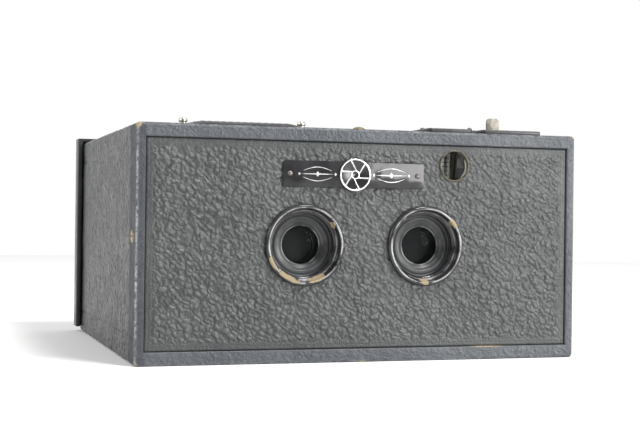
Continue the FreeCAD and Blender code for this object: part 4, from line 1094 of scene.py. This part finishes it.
def strap():
    """A leather strap: crowned, bowed up between its studs, thinned at its ends and stitched."""
    low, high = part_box("handle_strap")
    length = high.x - low.x
    centre_y = (low.y + high.y) / 2
    studs = sorted(middle(span).x for span in islands("handle_studs"))
    columns, rows = 150, 18
    thick = high.z - low.z

    def half_width(x):
        inset = max(min(x - low.x, high.x - x), 0.0)
        share = min(inset / (studs[0] - low.x), 1.0)
        end = 1 - 0.55 * max(0, 1 - inset / (1.6 * MM)) ** 2
        return (3.0 + 3.0 * math.sin(share * math.pi / 2)) * MM * end

    def lift(x):
        mid = (studs[0] + studs[1]) / 2
        half = (studs[1] - studs[0]) / 2
        share = min(abs(x - mid) / half, 1.25)
        return -1.25 * MM * max(0.0, (share - 0.72) / 0.28) ** 1.3 if share > 0.72 else 0.0

    vertices = []
    for layer in (1, -1):
        for i in range(columns + 1):
            x = low.x + length * i / columns
            width = half_width(x)
            thin = 1 - 0.35 * max(0.0, 1 - min(x - low.x, high.x - x) / (5 * MM))
            for j in range(rows + 1):
                across = -1 + 2 * j / rows
                edge = abs(across) ** 5
                crown = 0.20 * MM * across * across
                half = thick / 2 * thin * (1 - 0.55 * edge)
                y = centre_y + across * width
                channel = 0.12 * MM * math.exp(-((abs(across) - 0.78) / 0.05) ** 2) if layer > 0 else 0
                z = high.z - thick / 2 + max(lift(x), -1.9 * MM) - crown * 0.6 + layer * half - channel
                vertices.append((x, y, z))
    sheet = (columns + 1) * (rows + 1)

    def at(layer, i, j):
        return layer * sheet + i * (rows + 1) + j

    faces = []
    for i in range(columns):
        for j in range(rows):
            faces.append((at(0, i, j), at(0, i + 1, j), at(0, i + 1, j + 1), at(0, i, j + 1)))
            faces.append((at(1, i, j), at(1, i, j + 1), at(1, i + 1, j + 1), at(1, i + 1, j)))
        faces.append((at(0, i, 0), at(1, i, 0), at(1, i + 1, 0), at(0, i + 1, 0)))
        faces.append((at(0, i, rows), at(0, i + 1, rows), at(1, i + 1, rows), at(1, i, rows)))
    for j in range(rows):
        faces.append((at(0, 0, j), at(0, 0, j + 1), at(1, 0, j + 1), at(1, 0, j)))
        faces.append((at(0, columns, j), at(1, columns, j), at(1, columns, j + 1), at(0, columns, j + 1)))
    piece = mended("strap_leather_band", vertices, faces, 50)
    paint(piece, "wear_and_highlight", np.full(len(piece.data.vertices), 0.35))
    put(piece, "handle_strap", STRAP)

    stitches = []
    pitch = 2.6 * MM
    count = int((studs[1] - studs[0] - 7 * MM) / pitch)
    for side in (LEFT, RIGHT):
        for index in range(count):
            x = studs[0] + 3.6 * MM + index * pitch
            y = centre_y + side * half_width(x) * 0.78
            z = high.z - 0.16 * MM + lift(x) - 0.1 * MM
            outline = [(0, -0.8), (0.10, -0.74), (0.15, -0.5), (0.16, 0.5), (0.10, 0.74), (0, 0.8)]
            stitches.append(lathe("stitch", outline, (x, y, z), (1, 0, 0), 8))
    detail(joined("strap_stitching", stitches), "strap_leather", THREAD, 60)


heads("screw_heads", "frame_screws", BRASS, screw_head)
heads("rivet_heads", "plate_rivets", RIVET, rivet_head)
heads("stud_heads", "handle_studs", NICKEL, stud_head)
strap()


# ---------------------------------------------------------------- Winding knob, plates, lever, door and hinge

def knob():
    """The winding knob, with a knurled edge."""
    ridges, ridge_depth = 30, 0.32
    low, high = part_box("winding_knob")
    centre = middle((low, high))
    base = Vector((centre.x, centre.y, 0))
    bottom, top = low.z / MM, high.z / MM
    radius = (high.x - low.x) / 2 / MM
    outline = [
        (2.2, bottom), (radius - 1.6, bottom), (radius - 1.2, bottom + 0.35), (radius - 0.55, bottom + 0.7),
        (radius, bottom + 1.05), (radius, bottom + 2.6), (radius, top - 1.15), (radius - 0.5, top - 0.75),
        (radius - 0.9, top - 0.25), (radius - 1.5, top), (radius - 2.6, top - 0.02),
        (radius - 2.9, top - 0.28), (radius - 3.3, top - 0.28), (radius - 3.6, top - 0.02),
        (3.4, top - 0.02), (3.1, top - 0.25), (2.2, top - 0.25),
    ]

    def knurl(angles, reach, height):
        if reach < radius - 0.01:
            return np.zeros(len(angles))
        return -ridge_depth * np.abs(np.sin(angles * ridges)) ** 1.5

    piece = lathe("knurled_knob", outline, base, (0, 0, 1), 480, knurl, 35)
    put(piece, "winding_knob", NICKEL)


# Width of the eased edge in millimetres, and the nodes that have it.
EASED = {
    0.10: ("window_ring", "winding_shaft", "key_collar", "spool_pins", "roller_brackets", "shutter_posts",
           "shutter_bar"),
    0.12: ("knob_plate", "door_latch", "latch_pivot", "latch_stud", "case_hinge_leaf", "door_hinge_leaf",
           "hinge_pin", "top_board", "bottom_board", "side_boards", "front_panel"),
    0.20: ("film_gate",),
    0.25: ("take_up_spool",),
    0.30: ("finder_frame",),
    0.35: ("lever_plate",),
    0.45: ("back_door",),
    0.50: ("pressure_plate",),
}


def hardware():
    """Parts whose CAD shape only has its edges eased; the lever's tab is rounded at its corners too."""
    _, tab_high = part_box("release_lever")

    def tab_corner(a, b):
        return (abs(a.z - tab_high.z) < 0.02 * MM and abs(b.z - tab_high.z) < 0.02 * MM
                and abs(a.x - b.x) < 0.01 * MM)

    eased_copy("release_lever", 0.12, LEVER_PLATING, picked=(1.3, tab_corner))
    for width, labels in EASED.items():
        for label in labels:
            eased_copy(label, width)


def finder_ring():
    """The blackened ring round the finder's front lens."""
    _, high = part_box("finder_lens_ring")
    lens = middle(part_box("finder_lens_ring"))
    section = [(4.95, 0.0), (5.55, 0.0), (5.55, 0.12), (5.4, 0.26), (5.1, 0.26), (4.95, 0.1)]
    ring = lathe("finder_ring_eased", eased(section, 0.06, 2), (lens.x, high.y, lens.z), (0, -1, 0), 128)
    put(ring, "finder_lens_ring", DARK_BRASS)


def spring():
    """A close-wound coil between the bar and its post."""
    low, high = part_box("shutter_spring")
    centre = middle((low, high))
    radius = (high.z - low.z) / 2
    wire = 0.22 * MM
    turns, per_turn, around = 11, 28, 8
    steps = turns * per_turn
    vertices = []
    for step in range(steps + 1):
        angle = step / per_turn * 2 * math.pi
        x = low.x + wire + (high.x - low.x - 2 * wire) * step / steps
        for k in range(around):
            turn = 2 * math.pi * k / around
            reach = radius - wire + wire * math.cos(turn)
            vertices.append((x + wire * math.sin(turn), centre.y + reach * math.cos(angle),
                             centre.z + reach * math.sin(angle)))
    faces = ring_faces(steps + 1, around, closed=False)
    faces += [tuple(range(around - 1, -1, -1)), tuple(steps * around + k for k in range(around))]
    put(mended("coil_spring", vertices, faces, 60), "shutter_spring", STEEL)


knob()
hardware()
finder_ring()
spring()


# ---------------------------------------------------------------- Floor, light and camera

def floor():
    """A round sheet of pale paper whose far edge meets the white backdrop."""
    count, radius = 96, 1.1
    ring = [(radius * math.cos(turn / count * 2 * math.pi), radius * math.sin(turn / count * 2 * math.pi), 0)
            for turn in range(count)]
    piece = link_mesh("floor", ring, [tuple(range(count))])
    look = Finish("pale_paper", 0.7, 0.0, 0.2)
    tone = look.mix(look.noise(300, 3), (0.80, 0.805, 0.81), (0.83, 0.83, 0.83))
    look.bump(look.noise(1.5, 4), 0.05, 0.05)
    piece.data.materials.append(look.done(tone))


def world():
    """A white backdrop behind, a light ceiling and a darker room in front."""
    surroundings = bpy.data.worlds.new("studio")
    surroundings.use_nodes = True
    scene.world = surroundings
    tree = surroundings.node_tree

    def node(kind, *sources, **settings):
        made = tree.nodes.new(kind)
        for key, value in settings.items():
            setattr(made, key, value)
        for socket, source in zip(made.inputs, sources):
            if isinstance(source, (float, tuple)):
                socket.default_value = source
            else:
                tree.links.new(source, socket)
        return made

    way = node("ShaderNodeTexCoord").outputs["Generated"]
    lean = node("ShaderNodeVectorMath", way, (0.0, 0.55, 0.50), operation="DOT_PRODUCT").outputs["Value"]
    shift = node("ShaderNodeMath", lean, 0.5, operation="ADD").outputs[0]
    height = node("ShaderNodeSeparateXYZ", way).outputs["Z"]
    below = node("ShaderNodeMapRange", height, 0.03, -0.02).outputs["Result"]
    lighter = node("ShaderNodeMath", shift, below, operation="MAXIMUM").outputs[0]
    ramp = node("ShaderNodeValToRGB", lighter)
    ends = ((0.0, (0.16, 0.165, 0.17, 1)), (0.86, (1.0, 1.0, 1.0, 1)))
    for stop, (position, color) in zip(ramp.color_ramp.elements, ends):
        stop.position = position
        stop.color = color
    background = tree.nodes["Background"]
    tree.links.new(ramp.outputs["Color"], background.inputs["Color"])
    background.inputs["Strength"].default_value = 1.0


def softbox(name, azimuth, elevation, distance, size, power, color):
    """A square area light aimed at the object's middle; azimuth runs anticlockwise from +X."""
    target = (cad_low + cad_high) / 2
    a, e = math.radians(azimuth), math.radians(elevation)
    away = Vector((math.cos(a) * math.cos(e), math.sin(a) * math.cos(e), math.sin(e)))
    data = bpy.data.lights.new(name, "AREA")
    data.shape = "SQUARE"
    data.size = size
    data.energy = power
    data.color = color
    lamp = bpy.data.objects.new(name, data)
    lamp.location = target + away * distance
    lamp.rotation_mode = "QUATERNION"
    lamp.rotation_quaternion = away.to_track_quat("Z", "Y")
    scene.collection.objects.link(lamp)


def camera():
    """The view: a long lens a little above the middle of the front, turned to the right."""
    yaw, pitch, roll = 0.3068, 0.0039, 0.0126
    eye = (-0.14750, -0.48323, 0.04846)
    forward = Vector((math.sin(yaw) * math.cos(pitch), math.cos(yaw) * math.cos(pitch), math.sin(pitch)))
    level = Vector((math.cos(yaw), -math.sin(yaw), 0))
    up = level.cross(forward)
    right = level * math.cos(roll) + up * math.sin(roll)
    above = up * math.cos(roll) - level * math.sin(roll)
    data = bpy.data.cameras.new("view")
    data.sensor_width = 36
    data.lens = 72.65
    data.clip_start, data.clip_end = 0.01, 50
    item = bpy.data.objects.new("view", data)
    rows = [(right[axis], above[axis], -forward[axis], eye[axis]) for axis in range(3)]
    item.matrix_world = Matrix((*rows, (0, 0, 0, 1)))
    scene.collection.objects.link(item)
    scene.camera = item


floor()
world()
softbox("overhead_key", -62, 58, 1.25, 0.30, 15, (1.0, 0.99, 0.98))
softbox("left_fill", -168, 24, 1.4, 0.4, 7, (1.0, 0.985, 0.95))
softbox("low_right", -48, 8, 1.3, 0.60, 17, (1.0, 1.0, 1.0))
camera()
